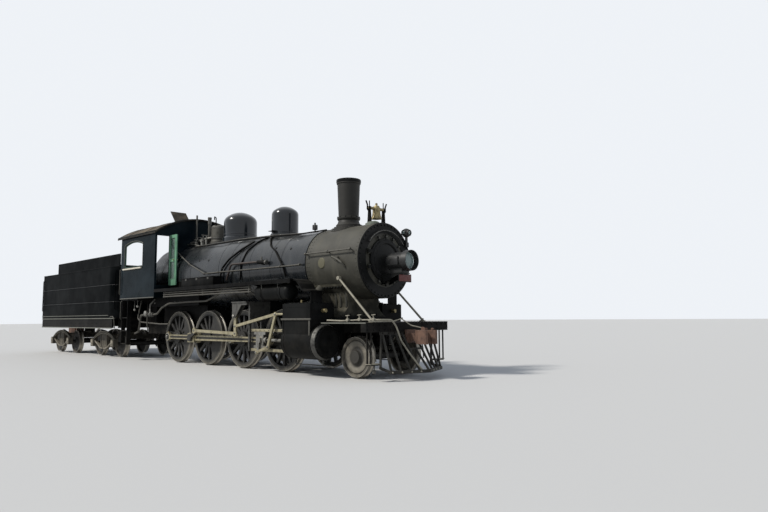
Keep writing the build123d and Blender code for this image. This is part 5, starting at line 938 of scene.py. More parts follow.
# Running boards and air tanks
def board_details():
    """Rivets along the running boards, the raised box, and the ends and straps of the air tanks."""
    edge = row((CAB_FRONT + 0.08, -1.4795, 2.086), at(4.35, -1.4795, 2.086), 44, TO_RIGHT)
    on_both(studs, "board_edge_rivets_right", edge, 0.009, FRAME, 0.7, 6)
    for index, (x, facing) in enumerate(((MAIN_X + 3.06, -1), (MAIN_X + 4.17, 1))):
        on_both(turned, f"air_tank_end_right_{index}", [(0.0, 0.088), (0.08, 0.086), (0.13, 0.078),
            (0.16, 0.064), (0.182, 0.035), (0.1915, -0.01)], (x, AIR_TANK_Y, AIR_TANK_Z), (facing, 0, 0),
            CASTING, 48)
    for index, dx in enumerate((3.30, 3.92)):
        on_both(turned, f"air_tank_strap_right_{index}", [(0.188, -0.028), (0.1945, -0.027), (0.1945, 0.027),
            (0.188, 0.028), (0.188, -0.028)], at(dx, AIR_TANK_Y, AIR_TANK_Z), AHEAD, FRAME, 48)
        on_both(rod, f"air_tank_strap_bolt_right_{index}", at(dx, -1.40, 1.93), at(dx, -1.415, 2.09), 0.011,
            DULL_STEEL, 8)
    on_both(bent_pipe, "air_tank_pipe_right", [at(3.02, AIR_TANK_Y, AIR_TANK_Z - 0.06),
        at(2.84, AIR_TANK_Y, AIR_TANK_Z - 0.06), at(2.76, -1.30, 1.89), at(2.62, -1.36, 1.90)], 0.019,
        PIPE_GREY, 0.06)
    plate("board_box", at(-0.55, -1.36, 2.128), at(1.08, -1.09, 2.36), FRAME, 0.012)
    plate("board_box_lid", at(-0.57, -1.375, 2.352), at(1.10, -1.075, 2.368), FRAME, 0.005)
    for index, dx in enumerate((-0.3, 0.26, 0.83)):
        plate(f"board_box_hinge_{index}", at(dx - 0.04, -1.366, 2.30), at(dx + 0.04, -1.358, 2.356),
            DULL_STEEL, 0.002)


board_details()


# Cab
def window_arch(x0, x1, z0, z1, rise, y, count=12):
    """Places round an arched window, from one lower corner to the other."""
    half = (x1 - x0) / 2
    radius = (half * half + rise * rise) / (2 * rise)
    middle = (x0 + x1) / 2
    arch = []
    for i in range(count + 1):
        dx = -half + 2 * half * i / count
        arch.append((middle + dx, y, z1 + rise - radius + math.sqrt(radius * radius - dx * dx)))
    return [(x0, y, z0)] + arch + [(x1, y, z0)]


def cab_shell():
    """Window strips, arm rests, rivet rows, gutters and ribs of the cab."""
    roof_r = (CAB_ROOF_HALF ** 2 + CAB_ROOF_RISE ** 2) / (2 * CAB_ROOF_RISE)
    face = -1.4805
    strip = window_arch(MAIN_X - 3.968, MAIN_X - 2.712, 2.85, 3.565, 0.10, -1.482)
    on_both(bent_pipe, "window_strip_right", strip, 0.011, STRIP, 0.03)
    sash = window_arch(MAIN_X - 3.935, MAIN_X - 2.745, 2.88, 3.54, 0.098, -1.455)
    on_both(bent_pipe, "window_sash_right", sash, 0.017, CAB_INSIDE, 0.03)
    on_both(plate, "window_sill_right", at(-3.96, -1.435, 2.862), at(-2.72, -1.478, 2.885), CAB_INSIDE, 0.004)
    on_both(plate, "arm_rest_right", at(-4.02, -1.474, 2.795), at(-2.76, -1.526, 2.84), CREAM, 0.012)
    on_both(plate, "cab_foot_strip_right", (CAB_REAR + 0.005, -1.476, 1.889),
        (CAB_FRONT - 0.005, -1.488, 1.915), STRIP, 0.003)
    on_both(plate, "cab_gutter_right", at(-4.40, -1.50, 3.835), at(-1.87, -1.529, 3.862), CAB, 0.005)
    rivets = row((CAB_REAR + 0.05, face, 1.955), (CAB_FRONT - 0.05, face, 1.955), 34, TO_RIGHT)
    rivets += row((CAB_REAR + 0.05, face, 3.76), (CAB_FRONT - 0.05, face, 3.76), 34, TO_RIGHT)
    rivets += row((CAB_REAR + 0.035, face, 2.02), (CAB_REAR + 0.035, face, 3.70), 26, TO_RIGHT)
    rivets += row((CAB_FRONT - 0.035, face, 2.02), (CAB_FRONT - 0.035, face, 3.70), 26, TO_RIGHT)
    on_both(studs, "cab_side_rivets_right", rivets, 0.0075, CAB, 0.6, 6)
    on_both(bent_pipe, "cab_rear_grab_right", [(CAB_REAR + 0.03, -1.47, 2.02),
        (CAB_REAR + 0.03, -1.516, 2.06), (CAB_REAR + 0.03, -1.516, 2.80), (CAB_REAR + 0.03, -1.47, 2.84)],
        0.012, PIPE_GREY, 0.03)
    on_both(bent_pipe, "cab_step_grab_right", [(CAB_REAR + 0.05, -1.436, 1.84),
        (CAB_REAR + 0.05, -1.47, 1.80), (CAB_REAR + 0.05, -1.47, 1.30), (CAB_REAR + 0.05, -1.436, 1.26)],
        0.011, PIPE_GREY, 0.03)
    for level in (0.525, 0.925, 1.325):
        treads = [(p, UP) for k in range(3) for p, _ in row((CAB_REAR + 0.10, -(1.28 + 0.055 * k), level),
            (CAB_REAR + 0.42, -(1.28 + 0.055 * k), level), 7, UP)]
        on_both(studs, f"cab_step_treads_right_{int(level * 10)}", treads, 0.009, DULL_STEEL, 0.6, 6)
    inner = -1.4345
    for index, (x0, z0, x1, z1) in enumerate(((-4.16, 1.91, -1.99, 2.84), (-4.16, 3.68, -1.99, 3.79),
            (-4.16, 2.85, -3.98, 3.67), (-2.70, 2.85, -1.99, 3.67))):
        on_both(plate, f"cab_lining_right_{index}", at(x0, inner, z0), at(x1, inner + 0.008, z1), CAB_INSIDE,
            0.003)
    on_both(plate, "seat_board_right", at(-3.90, -1.06, 2.452), at(-3.08, -1.425, 2.492), SEAT_WOOD, 0.012)
    on_both(plate, "seat_back_right", at(-3.93, -1.10, 2.49), at(-3.90, -1.41, 2.80), SEAT_WOOD, 0.010)
    for index, x in enumerate((-4.39, -3.75, -2.62, -1.88)):
        arc = []
        for i in range(25):
            y = -1.50 + 3.0 * i / 24
            arc.append(at(x, y, CAB_ROOF_TOP - roof_r + math.sqrt(roof_r ** 2 - y * y) + 0.001))
        bent_pipe(f"roof_rib_{index}", arc, 0.011, CAB, 0.04, 2)
    ceiling = roof_r - 0.042
    for index, x in enumerate((-4.0, -3.75, -2.35)):
        arc = []
        for i in range(21):
            y = -1.38 + 2.76 * i / 20
            arc.append(at(x, y, CAB_ROOF_TOP - roof_r + math.sqrt(ceiling ** 2 - y * y) - 0.012))
        bent_pipe(f"roof_carline_{index}", arc, 0.024, CAB_INSIDE, 0.04, 2)
    front = MAIN_X - 1.9295
    rivets = []
    for turn in range(20, 161, 7):
        angle = math.radians(turn)
        rivets.append(((front, 1.06 * math.cos(angle), BOILER_Z + 1.06 * math.sin(angle)), AHEAD))
    studs("cab_front_rivets", rivets, 0.009, CAB, 0.6, 6)


def cab_doors():
    """Panes, beads and handles of the two front doors."""
    for index, (z0, z1) in enumerate(((2.429, 2.949), (3.024, 3.649))):
        plate(f"right_door_pane_{index}", at(-1.785, -1.0585, z0 - 0.004), at(-1.515, -1.0535, z1 + 0.004),
            PANE, 0.001, body="cab_door_right_body")
        plate(f"left_door_pane_{index}", at(-1.909, 1.120, z0 - 0.004), at(-1.904, 1.390, z1 + 0.004), PANE,
            0.001, body="cab_door_left_body")
        for face in (-1.075, -1.036):
            corners = [at(-1.781, face, z0), at(-1.781, face, z1), at(-1.519, face, z1), at(-1.519, face, z0),
                at(-1.781, face, z0)]
            bent_pipe(f"right_door_bead_{index}_{int(-face * 1000)}", corners, 0.008, DOOR, 0.004, 2,
                body="cab_door_right_body")
        for face in (-1.926, -1.887):
            corners = [at(face, 1.124, z0), at(face, 1.124, z1), at(face, 1.386, z1), at(face, 1.386, z0),
                at(face, 1.124, z0)]
            bent_pipe(f"left_door_bead_{index}_{int(-face * 1000)}", corners, 0.008, DOOR, 0.004, 2,
                body="cab_door_left_body")
    for name, x, face, out in (("outer", MAIN_X - 1.475, -1.038, 0.045),
            ("inner", MAIN_X - 1.55, -1.073, -0.045)):
        rod(f"right_door_knob_{name}", (x, face, 2.985), (x, face + out, 2.985), 0.020, BRASS, 12, 0.4,
            body="cab_door_right_body")
    rod("left_door_knob", at(-1.889, 1.43, 2.985), at(-1.845, 1.43, 2.985), 0.020, BRASS, 12, 0.4,
        body="cab_door_left_body")


def backhead_fittings():
    """Gauges, pipes, valves and levers in front of the driver and the fireman."""
    x = BACKHEAD_X
    for name, y, z, radius in (("steam", -0.32, 3.05, 0.112), ("air", -0.60, 2.92, 0.08),
            ("heater", 0.55, 2.98, 0.08)):
        turned(f"{name}_gauge_case", [(0.0, 0.002), (radius, 0.002), (radius + 0.004, 0.045),
            (radius - 0.012, 0.060), (radius - 0.016, 0.05)], (x, y, z), BACK, BRASS, 36)
        turned(f"{name}_gauge_dial", [(0.0, 0.053), (radius - 0.02, 0.053), (radius - 0.015, 0.048)],
            (x, y, z), BACK, CREAM, 36)
        rod(f"{name}_gauge_hand", (x - 0.056, y, z - 0.015), (x - 0.056, y + radius * 0.5, z + radius * 0.4),
            0.004, FRAME, 6)
        bent_pipe(f"{name}_gauge_pipe", [(x - 0.03, y, z - radius), (x - 0.03, y, z - radius - 0.14),
            (x - 0.02, y * 0.9, z - radius - 0.22)], 0.009, COPPER, 0.04)
    for index, y in enumerate((0.20, 0.33)):
        rod(f"water_glass_{index}", (x - 0.075, y, 2.72), (x - 0.075, y, 3.02), 0.013, LENS, 14)
        for z in (2.70, 3.03):
            rod(f"water_glass_fitting_{index}_{int(z * 100)}", (x + 0.01, y, z), (x - 0.10, y, z), 0.022,
                BRASS, 10)
    plate("fire_door_frame", (x - 0.012, -0.26, 2.11), (x + 0.002, 0.26, 2.50), FRAME, 0.008)
    on_both(plate, "fire_door_leaf_right", (x - 0.045, -0.005, 2.15), (x - 0.03, -0.215, 2.45), FRAME, 0.012)
    bent_pipe("fire_door_handle", [(x - 0.045, -0.05, 2.38), (x - 0.12, -0.08, 2.44),
        (x - 0.12, -0.20, 2.60)], 0.010, STEEL, 0.04)
    bent_pipe("throttle_lever", [(x - 0.02, 0.0, 3.22), (x - 0.16, 0.0, 3.24), (x - 0.24, -0.30, 3.20),
        (x - 0.28, -0.62, 3.02)], 0.017, STEEL, 0.08)
    rod("throttle_handle", (x - 0.28, -0.62, 3.02), (x - 0.32, -0.74, 2.94), 0.022, SEAT_WOOD, 12, 0.4)
    rod("reverse_lever", at(-2.62, -1.16, 1.92), at(-2.86, -1.16, 2.92), 0.019, STEEL, 10)
    rod("reverse_lever_grip", at(-2.86, -1.16, 2.92), at(-2.905, -1.16, 3.10), 0.024, SEAT_WOOD, 12, 0.4)
    rack = [at(-2.99 + 0.05 * i, -1.145, 2.36 + 0.30 * math.sin(math.radians(60 + 12 * i)) - 0.25)
        for i in range(10)]
    bent_pipe("reverse_quadrant", rack, 0.013, DULL_STEEL, 0.05)
    rod("brake_stand", (x - 0.16, -0.84, 1.90), (x - 0.16, -0.84, 2.62), 0.03, FRAME, 14)
    turned("brake_valve_body", [(0.0, 2.60), (0.06, 2.61), (0.065, 2.68), (0.04, 2.73), (0.025, 2.76),
        (0.0, 2.765)], (x - 0.16, -0.84, 0), UP, BRASS, 24)
    rod("brake_handle", (x - 0.16, -0.84, 2.76), (x - 0.36, -0.92, 2.78), 0.012, BRASS, 10, 0.4)
    for index, (y, z) in enumerate(((-0.10, 3.36), (0.10, 3.38), (0.28, 3.32), (-0.28, 3.32))):
        rod(f"top_valve_stem_{index}", (x + 0.02, y, z), (x - 0.16, y, z), 0.010, STEEL, 8)
        turned(f"top_valve_wheel_{index}", [(0.04, -0.006), (0.048, -0.008), (0.055, 0.0), (0.048, 0.008),
            (0.04, 0.006), (0.04, -0.006)], (x - 0.15, y, z), BACK, RED, 18)
        bent_pipe(f"backhead_pipe_{index}", [(x - 0.03, y, z), (x - 0.03, y * 1.6, z - 0.1),
            (x - 0.03, y * 3.0, 2.75), (x - 0.03, y * 3.1, 1.95)], 0.013, COPPER, 0.1)
    stays = []
    for r, count in ((0.90, 34), (0.74, 22)):
        stays += [(p, f) for p, f in ring((x + 0.001, 0, BOILER_Z), r, count, "X", facing=BACK) if p.z > 2.0]
    studs("backhead_stays", stays, 0.014, FRAME, 0.6, 6)
    deck = [(p, UP) for k in range(7) for p, _ in row(at(-4.16, -0.9 + 0.3 * k, 1.9005),
        at(-3.16, -0.9 + 0.3 * k, 1.9005), 9, UP)]
    studs("cab_floor_studs", deck, 0.012, DULL_STEEL, 0.4, 6)


def under_cab():
    """The injector, its pipes and the valves and strainers under the cab, and the train pipe below it."""
    y = -1.24
    on_both(rod, "injector_body_right", at(-2.98, y, 1.40), at(-2.42, y, 1.40), 0.058, DULL_STEEL, 18)
    for index, dx in enumerate((-2.90, -2.70, -2.50)):
        on_both(turned, f"injector_ring_right_{index}", [(0.055, -0.014), (0.078, -0.012), (0.078, 0.012),
            (0.055, 0.014), (0.055, -0.014)], at(dx, y, 1.40), AHEAD, DULL_STEEL, 20)
    on_both(turned, "injector_cap_right", [(0.0, 0.06), (0.05, 0.058), (0.075, 0.045), (0.085, 0.02),
        (0.085, 0.0)], at(-2.78, -1.285, 1.44), TO_RIGHT, STEEL, 24)
    on_both(rod, "injector_valve_right", at(-2.62, y, 1.44), at(-2.62, y, 1.58), 0.03, STEEL, 12)
    on_both(bent_pipe, "injector_steam_right", [at(-2.62, y, 1.56), at(-2.62, y, 1.70),
        at(-2.50, -1.16, 1.86)], 0.024, DULL_STEEL, 0.08)
    on_both(bent_pipe, "injector_feed_right", [at(-2.98, y, 1.40), at(-3.22, y, 1.38), at(-3.42, -1.18, 1.10),
        at(-3.62, -1.12, 0.88), at(-4.16, -0.98, 0.82)], 0.032, PIPE_GREY, 0.14)
    on_both(bent_pipe, "injector_delivery_right", [at(-2.42, y, 1.40), at(-2.16, y, 1.42),
        at(-1.96, -1.20, 1.60), at(-1.60, -1.16, 1.72), at(-0.6, -1.13, 1.74), at(0.4, -1.13, 1.74),
        at(0.98, -1.12, 1.90), at(1.15, -1.06, 2.10)], 0.027, PIPE_GREY, 0.16)
    on_both(bent_pipe, "injector_overflow_right", [at(-2.80, y, 1.36), at(-2.80, y, 1.12),
        at(-2.74, y, 0.92)], 0.017, PIPE_GREY, 0.06)
    for index, (dx, z) in enumerate(((-3.35, 1.66), (-3.55, 1.56))):
        on_both(turned, f"strainer_right_{index}", [(0.0, 0.03), (0.03, 0.026), (0.042, 0.0), (0.03, -0.026),
            (0.0, -0.03)], at(dx, -1.30, z), TO_RIGHT, STEEL, 16)
        on_both(rod, f"strainer_stem_right_{index}", at(dx, -1.30, z), at(dx, -1.30, 1.85), 0.011, DULL_STEEL,
            8)
    on_both(bent_pipe, "cab_train_pipe_right", [at(-3.52, -1.10, 1.84), at(-3.52, -1.20, 1.30),
        at(-3.30, -1.20, 1.18), at(-2.2, -1.12, 1.12), at(-1.9, -1.02, 1.12)], 0.02, PIPE_GREY, 0.1)


cab_shell()
cab_doors()
backhead_fittings()
under_cab()


# Tender
TANK_FRONT = MAIN_X - 4.60
TANK_REAR = MAIN_X - 11.35
TANK_HALF = 1.48
TANK_CORNER = 0.45
TANK_TOP = 2.978
TANK_RIVET = 0.0065
SEAM_ROWS = (2.945, 2.425, 2.355, 1.875, 1.805, 1.425)
LUMPS = 150
COAL_GAP = 0.52


def tank_edge(inset, z):
    """Places along the right half of the tank's outline, from the rear to the coal gap."""
    half, front, r = TANK_HALF - inset, TANK_FRONT - inset, TANK_CORNER
    places = [(TANK_REAR + inset, -half, z), (front - r, -half, z)]
    for i in range(1, 9):
        turn = math.radians(-90 + 90 * i / 9)
        places.append((front - r + r * math.cos(turn), -half + r + r * math.sin(turn), z))
    return places + [(front, -half + r, z), (front, -COAL_GAP, z)]


def tender_sides():
    """Seams, rivet rows, beads and ledges on both sides of the tender."""
    on_both(bent_pipe, "tank_coping_right", tank_edge(0.004, TANK_TOP), 0.015, TENDER, 0.03, 2, body="tender")
    on_both(bent_pipe, "coal_board_bead_right", [at(-10.46, -1.24, 3.40), at(-4.86, -1.24, 3.40)], 0.024,
        TENDER, body="tender")
    for z in (2.39, 1.84):
        on_both(bent_pipe, f"tank_seam_right_{int(z * 100)}", tank_edge(-0.0005, z), 0.0045, SEAM, 0.03, 2,
            body="tender")
    # The ledges are pale grey as a painted highlight of their lit edges.
    for name, z0, z1, x0, x1, y, out in (("foot", 1.388, 1.406, TANK_REAR, MAIN_X - 5.04, 1.479, 0.016),
            ("deck", 1.284, 1.312, TANK_REAR - 0.05, MAIN_X - 4.62, 1.448, 0.030),
            ("sill", 0.970, 1.000, TANK_REAR - 0.05, MAIN_X - 4.84, 1.446, 0.024)):
        on_both(plate, f"tender_ledge_{name}_right", (x0, -y, z0), (x1, -y - out, z1), LEDGE_HIGHLIGHT, 0.004,
            body="tender")
    face = -TANK_HALF - 0.0005
    rivets = []
    for z in SEAM_ROWS:
        rivets += row((TANK_REAR + 0.06, face, z), (TANK_FRONT - 0.47, face, z), 62, TO_RIGHT)
    for dx in (-11.30, -8.72, -8.64, -6.62, -6.54, -5.07):
        rivets += row(at(dx, face, 1.46), at(dx, face, 2.92), 16, TO_RIGHT)
    on_both(studs, "tank_rivets_right", rivets, TANK_RIVET, TENDER, 0.6, 6, body="tender")
    corner = []
    for z in SEAM_ROWS:
        for i in range(9):
            turn = math.radians(-85 + 10 * i)
            out = (math.cos(turn), math.sin(turn), 0)
            corner.append(((TANK_FRONT - TANK_CORNER + (TANK_CORNER + 0.0005) * out[0],
                -TANK_HALF + TANK_CORNER + (TANK_CORNER + 0.0005) * out[1], z), out))
    on_both(studs, "tank_corner_rivets_right", corner, TANK_RIVET, TENDER, 0.6, 6, body="tender")
    board = []
    for dx in (-10.40, -9.0, -7.9, -6.8, -5.7, -4.92):
        board += row(at(dx, -1.2605, 3.02), at(dx, -1.2605, 3.36), 5, TO_RIGHT)
    on_both(studs, "coal_board_rivets_right", board, 0.009, TENDER, 0.6, 6, body="tender")
    bolts = row(at(-11.3, -1.4505, 1.14), at(-4.95, -1.4505, 1.14), 18, TO_RIGHT)
    bolts += row(at(-11.3, -1.4505, 1.04), at(-4.95, -1.4505, 1.04), 18, TO_RIGHT)
    on_both(nuts, "sill_bolts_right", bolts, 0.013, FRAME, 0.7, body="tender")
    on_both(bent_pipe, "tender_front_grab_right", [at(-4.96, -1.45, 1.30), at(-4.86, -1.50, 1.355),
        at(-4.66, -1.50, 1.36), at(-4.57, -1.50, 1.28), at(-4.57, -1.47, 0.98)], 0.014, PIPE_GREY, 0.06,
        body="tender")
    on_both(bent_pipe, "tank_corner_grab_right", [at(-4.78, -1.36, 2.86), at(-4.76, -1.42, 2.83),
        at(-4.76, -1.42, 1.62), at(-4.78, -1.36, 1.59)], 0.012, TENDER, 0.03, body="tender")
    on_both(bent_pipe, "tank_rear_grab_right", [(TANK_REAR + 0.08, -1.478, 2.80),
        (TANK_REAR + 0.08, -1.518, 2.77), (TANK_REAR + 0.08, -1.518, 1.62), (TANK_REAR + 0.08, -1.478, 1.59)],
        0.012, TENDER, 0.03, body="tender")
    bent_pipe("rear_board_bead", [at(-8.98, -1.24, 3.40), at(-8.98, 1.24, 3.40)], 0.022, TENDER,
        body="tender")


def tender_rear():
    """Ladder, rivets and train pipe at the rear of the tender, and the water hatch's fittings."""
    x = TANK_REAR - 0.075
    for y in (-1.22, -0.84):
        rod(f"ladder_rail_{'out' if y < -1 else 'in'}", (x, y, 1.02), (x, y, 2.99), 0.016, TENDER, 10,
            body="tender")
        for z in (1.32, 2.95):
            rod(f"ladder_foot_{'out' if y < -1 else 'in'}_{int(z * 10)}", (x, y, z),
                (TANK_REAR + 0.005, y, z), 0.014, TENDER, 10, body="tender")
    for index in range(7):
        z = 1.12 + 0.28 * index
        rod(f"ladder_rung_{index}", (x, -1.22, z), (x, -0.84, z), 0.012, PIPE_GREY, 10, body="tender")
    rivets = []
    for z in (2.92, 2.39, 1.84, 1.40):
        rivets += row((TANK_REAR - 0.0005, -1.40, z), (TANK_REAR - 0.0005, 1.40, z), 30, BACK)
    for y in (-1.43, 0.0, 1.43):
        rivets += row((TANK_REAR - 0.0005, y, 1.45), (TANK_REAR - 0.0005, y, 2.90), 16, BACK)
    studs("tank_rear_rivets", rivets, TANK_RIVET, TENDER, 0.6, 6, body="tender")
    bent_pipe("tank_rear_bead", [(TANK_REAR, -1.47, TANK_TOP), (TANK_REAR, 1.47, TANK_TOP)], 0.015, TENDER,
        body="tender")
    bent_pipe("rear_train_pipe", [(TANK_REAR - 0.05, 0.42, 0.98), (TANK_REAR - 0.13, 0.42, 0.94),
        (TANK_REAR - 0.22, 0.40, 0.80), (TANK_REAR - 0.25, 0.36, 0.52)], 0.022, PIPE_GREY, 0.06,
        body="tender")
    bent_pipe("rear_lift_lever", [(TANK_REAR - 0.09, -1.30, 0.98), (TANK_REAR - 0.11, -1.28, 1.12),
        (TANK_REAR - 0.11, -0.25, 1.12), (TANK_REAR - 0.30, -0.12, 1.10)], 0.012, PIPE_GREY, 0.05,
        body="tender")
    lid_x, lid_top = MAIN_X - 10.30, 3.1235
    bent_pipe("filler_lid_handle", [(lid_x - 0.10, -0.10, 3.12), (lid_x - 0.10, -0.10, 3.165),
        (lid_x - 0.10, 0.10, 3.165), (lid_x - 0.10, 0.10, 3.12)], 0.010, PIPE_GREY, 0.03,
        body="filler_lid_body")
    rim = row((lid_x - 0.27, -0.39, lid_top), (lid_x - 0.27, 0.39, lid_top), 9, UP)
    rim += row((lid_x + 0.24, -0.39, lid_top), (lid_x + 0.24, 0.39, lid_top), 9, UP)
    studs("filler_lid_rivets", rim, 0.009, TENDER, 0.6, 6, body="filler_lid_body")
    top = []
    for dx in (-11.25, -10.9, -9.3):
        top += row(at(dx, -1.38, TANK_TOP + 0.0005), at(dx, 1.38, TANK_TOP + 0.0005), 26, UP)
    studs("tank_top_rivets", top, 0.0075, TENDER, 0.6, 6, body="tender")


def coal_height(crown, share, across):
    """Height of the coal at a share of its length and of its half width."""
    roll = 0.07 * math.sin(9 * share) * math.cos(2.5 * across)
    return crown - 1.12 * share ** 2.2 - 0.22 * abs(across) ** 3 + roll


def coal_heap():
    """Coal heaped between the boards and falling to the gap at the front, with loose lumps on it."""
    x0, x1, half = MAIN_X - 8.67, MAIN_X - 4.98, 1.19
    bpy.ops.object.select_all(action="DESELECT")
    bpy.ops.mesh.primitive_grid_add(x_subdivisions=84, y_subdivisions=36, size=1)
    heap = bpy.context.object
    for vertex in heap.data.vertices:
        share, across = vertex.co.x + 0.5, vertex.co.y * 2
        z = coal_height(3.20, share, across)
        vertex.co = (x0 + (x1 - x0) * share + random.uniform(-0.012, 0.012), half * across,
            z + random.uniform(-0.035, 0.035))
    top_count = len(heap.data.vertices)
    edit(heap)
    bpy.ops.mesh.extrude_region_move(TRANSFORM_OT_translate={"value": (0, 0, -0.35)})
    bpy.ops.mesh.select_all(action="SELECT")
    bpy.ops.mesh.normals_make_consistent(inside=False)
    done()
    for index, vertex in enumerate(heap.data.vertices):
        if index >= top_count:
            vertex.co.z = max(1.76, 2.63 - 0.325 * (vertex.co.x - x0))
    settle(heap, "coal_heap", COAL, "tender")
    bpy.ops.object.select_all(action="DESELECT")
    bpy.ops.mesh.primitive_ico_sphere_add(subdivisions=1, radius=1.0)
    first = bpy.context.object
    lumps = []
    for _ in range(LUMPS):
        share, across = random.random(), random.uniform(-0.92, 0.92)
        z = coal_height(3.21, share, across)
        lump = first.copy()
        lump.data = first.data.copy()
        bpy.context.scene.collection.objects.link(lump)
        size = random.uniform(0.035, 0.085)
        for vertex in lump.data.vertices:
            vertex.co = [c * size * random.uniform(0.65, 1.15) for c in vertex.co]
        lump.location = (x0 + (x1 - x0) * share, half * across, z)
        lump.rotation_euler = [random.uniform(0, 3) for _ in range(3)]
        lumps.append(lump)
    bpy.data.objects.remove(first)
    pick(*lumps)
    bpy.ops.object.join()
    settle(bpy.context.object, "coal_lumps", COAL, "tender")


def truck_details():
    """Arches, springs, journal lids and bolts of the tender trucks."""
    first_x, face = TENDER_TRUCKS[0][1], -1.053
    coils = [(0.0, 0.318)]
    for i in range(9):
        z = 0.318 + 0.0265 * i
        coils += [(0.060, z), (0.0665, z + 0.007), (0.060, z + 0.014)]
    coils.append((0.0, coils[-1][1]))
    for index, dx in enumerate((-0.078, 0.078)):
        on_trucks(turned, f"truck_spring_front_right_{index}", coils, (first_x + dx, -1.005, 0), UP,
            TRUCK_PALE, 24)
    for place, rise, radius in (("top", 0.862, 1.636), ("low", 0.800, 1.660)):
        arch = []
        for i in range(-6, 7):
            dx = 0.92 * i / 6
            arch.append((first_x + dx, face, rise - radius + math.sqrt(radius ** 2 - dx ** 2)))
        on_trucks(bent_pipe, f"truck_arch_{place}_front_right", arch, 0.017, TRUCK_PALE, 0.06)
    for d in (-1, 1):
        on_trucks(bent_pipe, f"truck_tie_front_right_{'a' if d < 0 else 'b'}",
            [(first_x + d * 0.78, face, 0.555), (first_x + d * 0.26, face, 0.29),
            (first_x + d * 0.04, face, 0.275)], 0.018, TRUCK_PALE, 0.08)
        x = first_x + d * 0.84
        on_trucks(plate, f"journal_lid_front_right_{'a' if d < 0 else 'b'}", (x - 0.085, -1.108, 0.375),
            (x + 0.085, -1.128, 0.555), TRUCK_PALE, 0.010)
        on_trucks(rod, f"journal_hinge_front_right_{'a' if d < 0 else 'b'}", (x - 0.06, -1.122, 0.565),
            (x + 0.06, -1.122, 0.565), 0.013, TRUCK_PALE, 10)
        on_trucks(turned, f"journal_boss_front_right_{'a' if d < 0 else 'b'}",
            [(0.0, 0.020), (0.03, 0.018), (0.045, 0.008), (0.05, 0.0), (0.0, 0.0)], (x, -1.127, 0.455),
            TO_RIGHT, TRUCK_PALE, 20)
    bolts = [((first_x + dx, face + 0.002, z), TO_RIGHT) for dx in (-0.225, 0.225) for z in (0.295, 0.79)]
    bolts += [((first_x + dx, face + 0.002, 0.664), TO_RIGHT) for dx in (-0.72, 0.72)]
    on_trucks(nuts, "truck_nuts_front_right", bolts, 0.021, TRUCK_PALE, 0.9)


tender_sides()
tender_rear()
coal_heap()
truck_details()


# Wheels, rods and valve gear
def wheel_details():
    """Dished faces of the plate wheels, and axle ends and tyre lines of the driving wheels."""
    dish = [(0.0, 0.770), (0.350, 0.770), (0.350, 0.781), (0.335, 0.795), (0.300, 0.800), (0.262, 0.793),
        (0.228, 0.776), (0.195, 0.773), (0.160, 0.786), (0.140, 0.815), (0.131, 0.8395), (0.120, 0.843),
        (0.095, 0.838), (0.085, 0.8395), (0.0, 0.8395)]
    on_both(turned, "pilot_wheel_dish_right", dish, (PILOT_X, 0, TRUCK_Z), TO_RIGHT, PILOT_WHEEL, 56,
        body="pilot_axle")
    tender_dish = [(r, h) for r, h in dish if r > 0.13] + [(0.131, 0.770), (0.350, 0.770)]
    first = on_both(turned, "tender_dish_right_1", tender_dish, (tender_axles[0], 0, TRUCK_Z), TO_RIGHT,
        TENDER_WHEELS[0], 48, body="tender_axle_1")
    for number, axle_x in enumerate(tender_axles[1:], 2):
        shift = (axle_x - tender_axles[0], 0, 0)
        copy = copied(first, f"tender_dish_right_{number}", f"tender_axle_{number}", shift)
        copy.data.materials[0] = TENDER_WHEELS[number - 1].material
        copied(copy, f"tender_dish_left_{number}", f"tender_axle_{number}", other_side=True)
    for number, pitches in DRIVER_PLACES:
        x = MAIN_X + pitches * DRIVER_PITCH
        body = f"axle_{number}"
        on_both(turned, f"driver_tyre_line_right_{number}", [(0.652, 0.8165), (0.656, 0.8215),
            (0.664, 0.8215), (0.668, 0.8165), (0.652, 0.8165)], (x, 0, DRIVER_Z), TO_RIGHT, DULL_STEEL, 72,
            body=body)
        if number != ROD_DRIVEN:
            on_both(turned, f"driver_axle_end_right_{number}",
                [(0.0, 0.862), (0.03, 0.862), (0.038, 0.857), (0.085, 0.857), (0.10, 0.852), (0.10, 0.85),
                (0.0, 0.85)], (x, 0, DRIVER_Z), TO_RIGHT, DULL_STEEL, 32, body=body)


def crank_place(side, pitches):
    """X and Z of a crank pin as the engine stands."""
    x = MAIN_X + pitches * DRIVER_PITCH
    return (x - CRANK, DRIVER_Z) if side == RIGHT else (x, DRIVER_Z - CRANK)


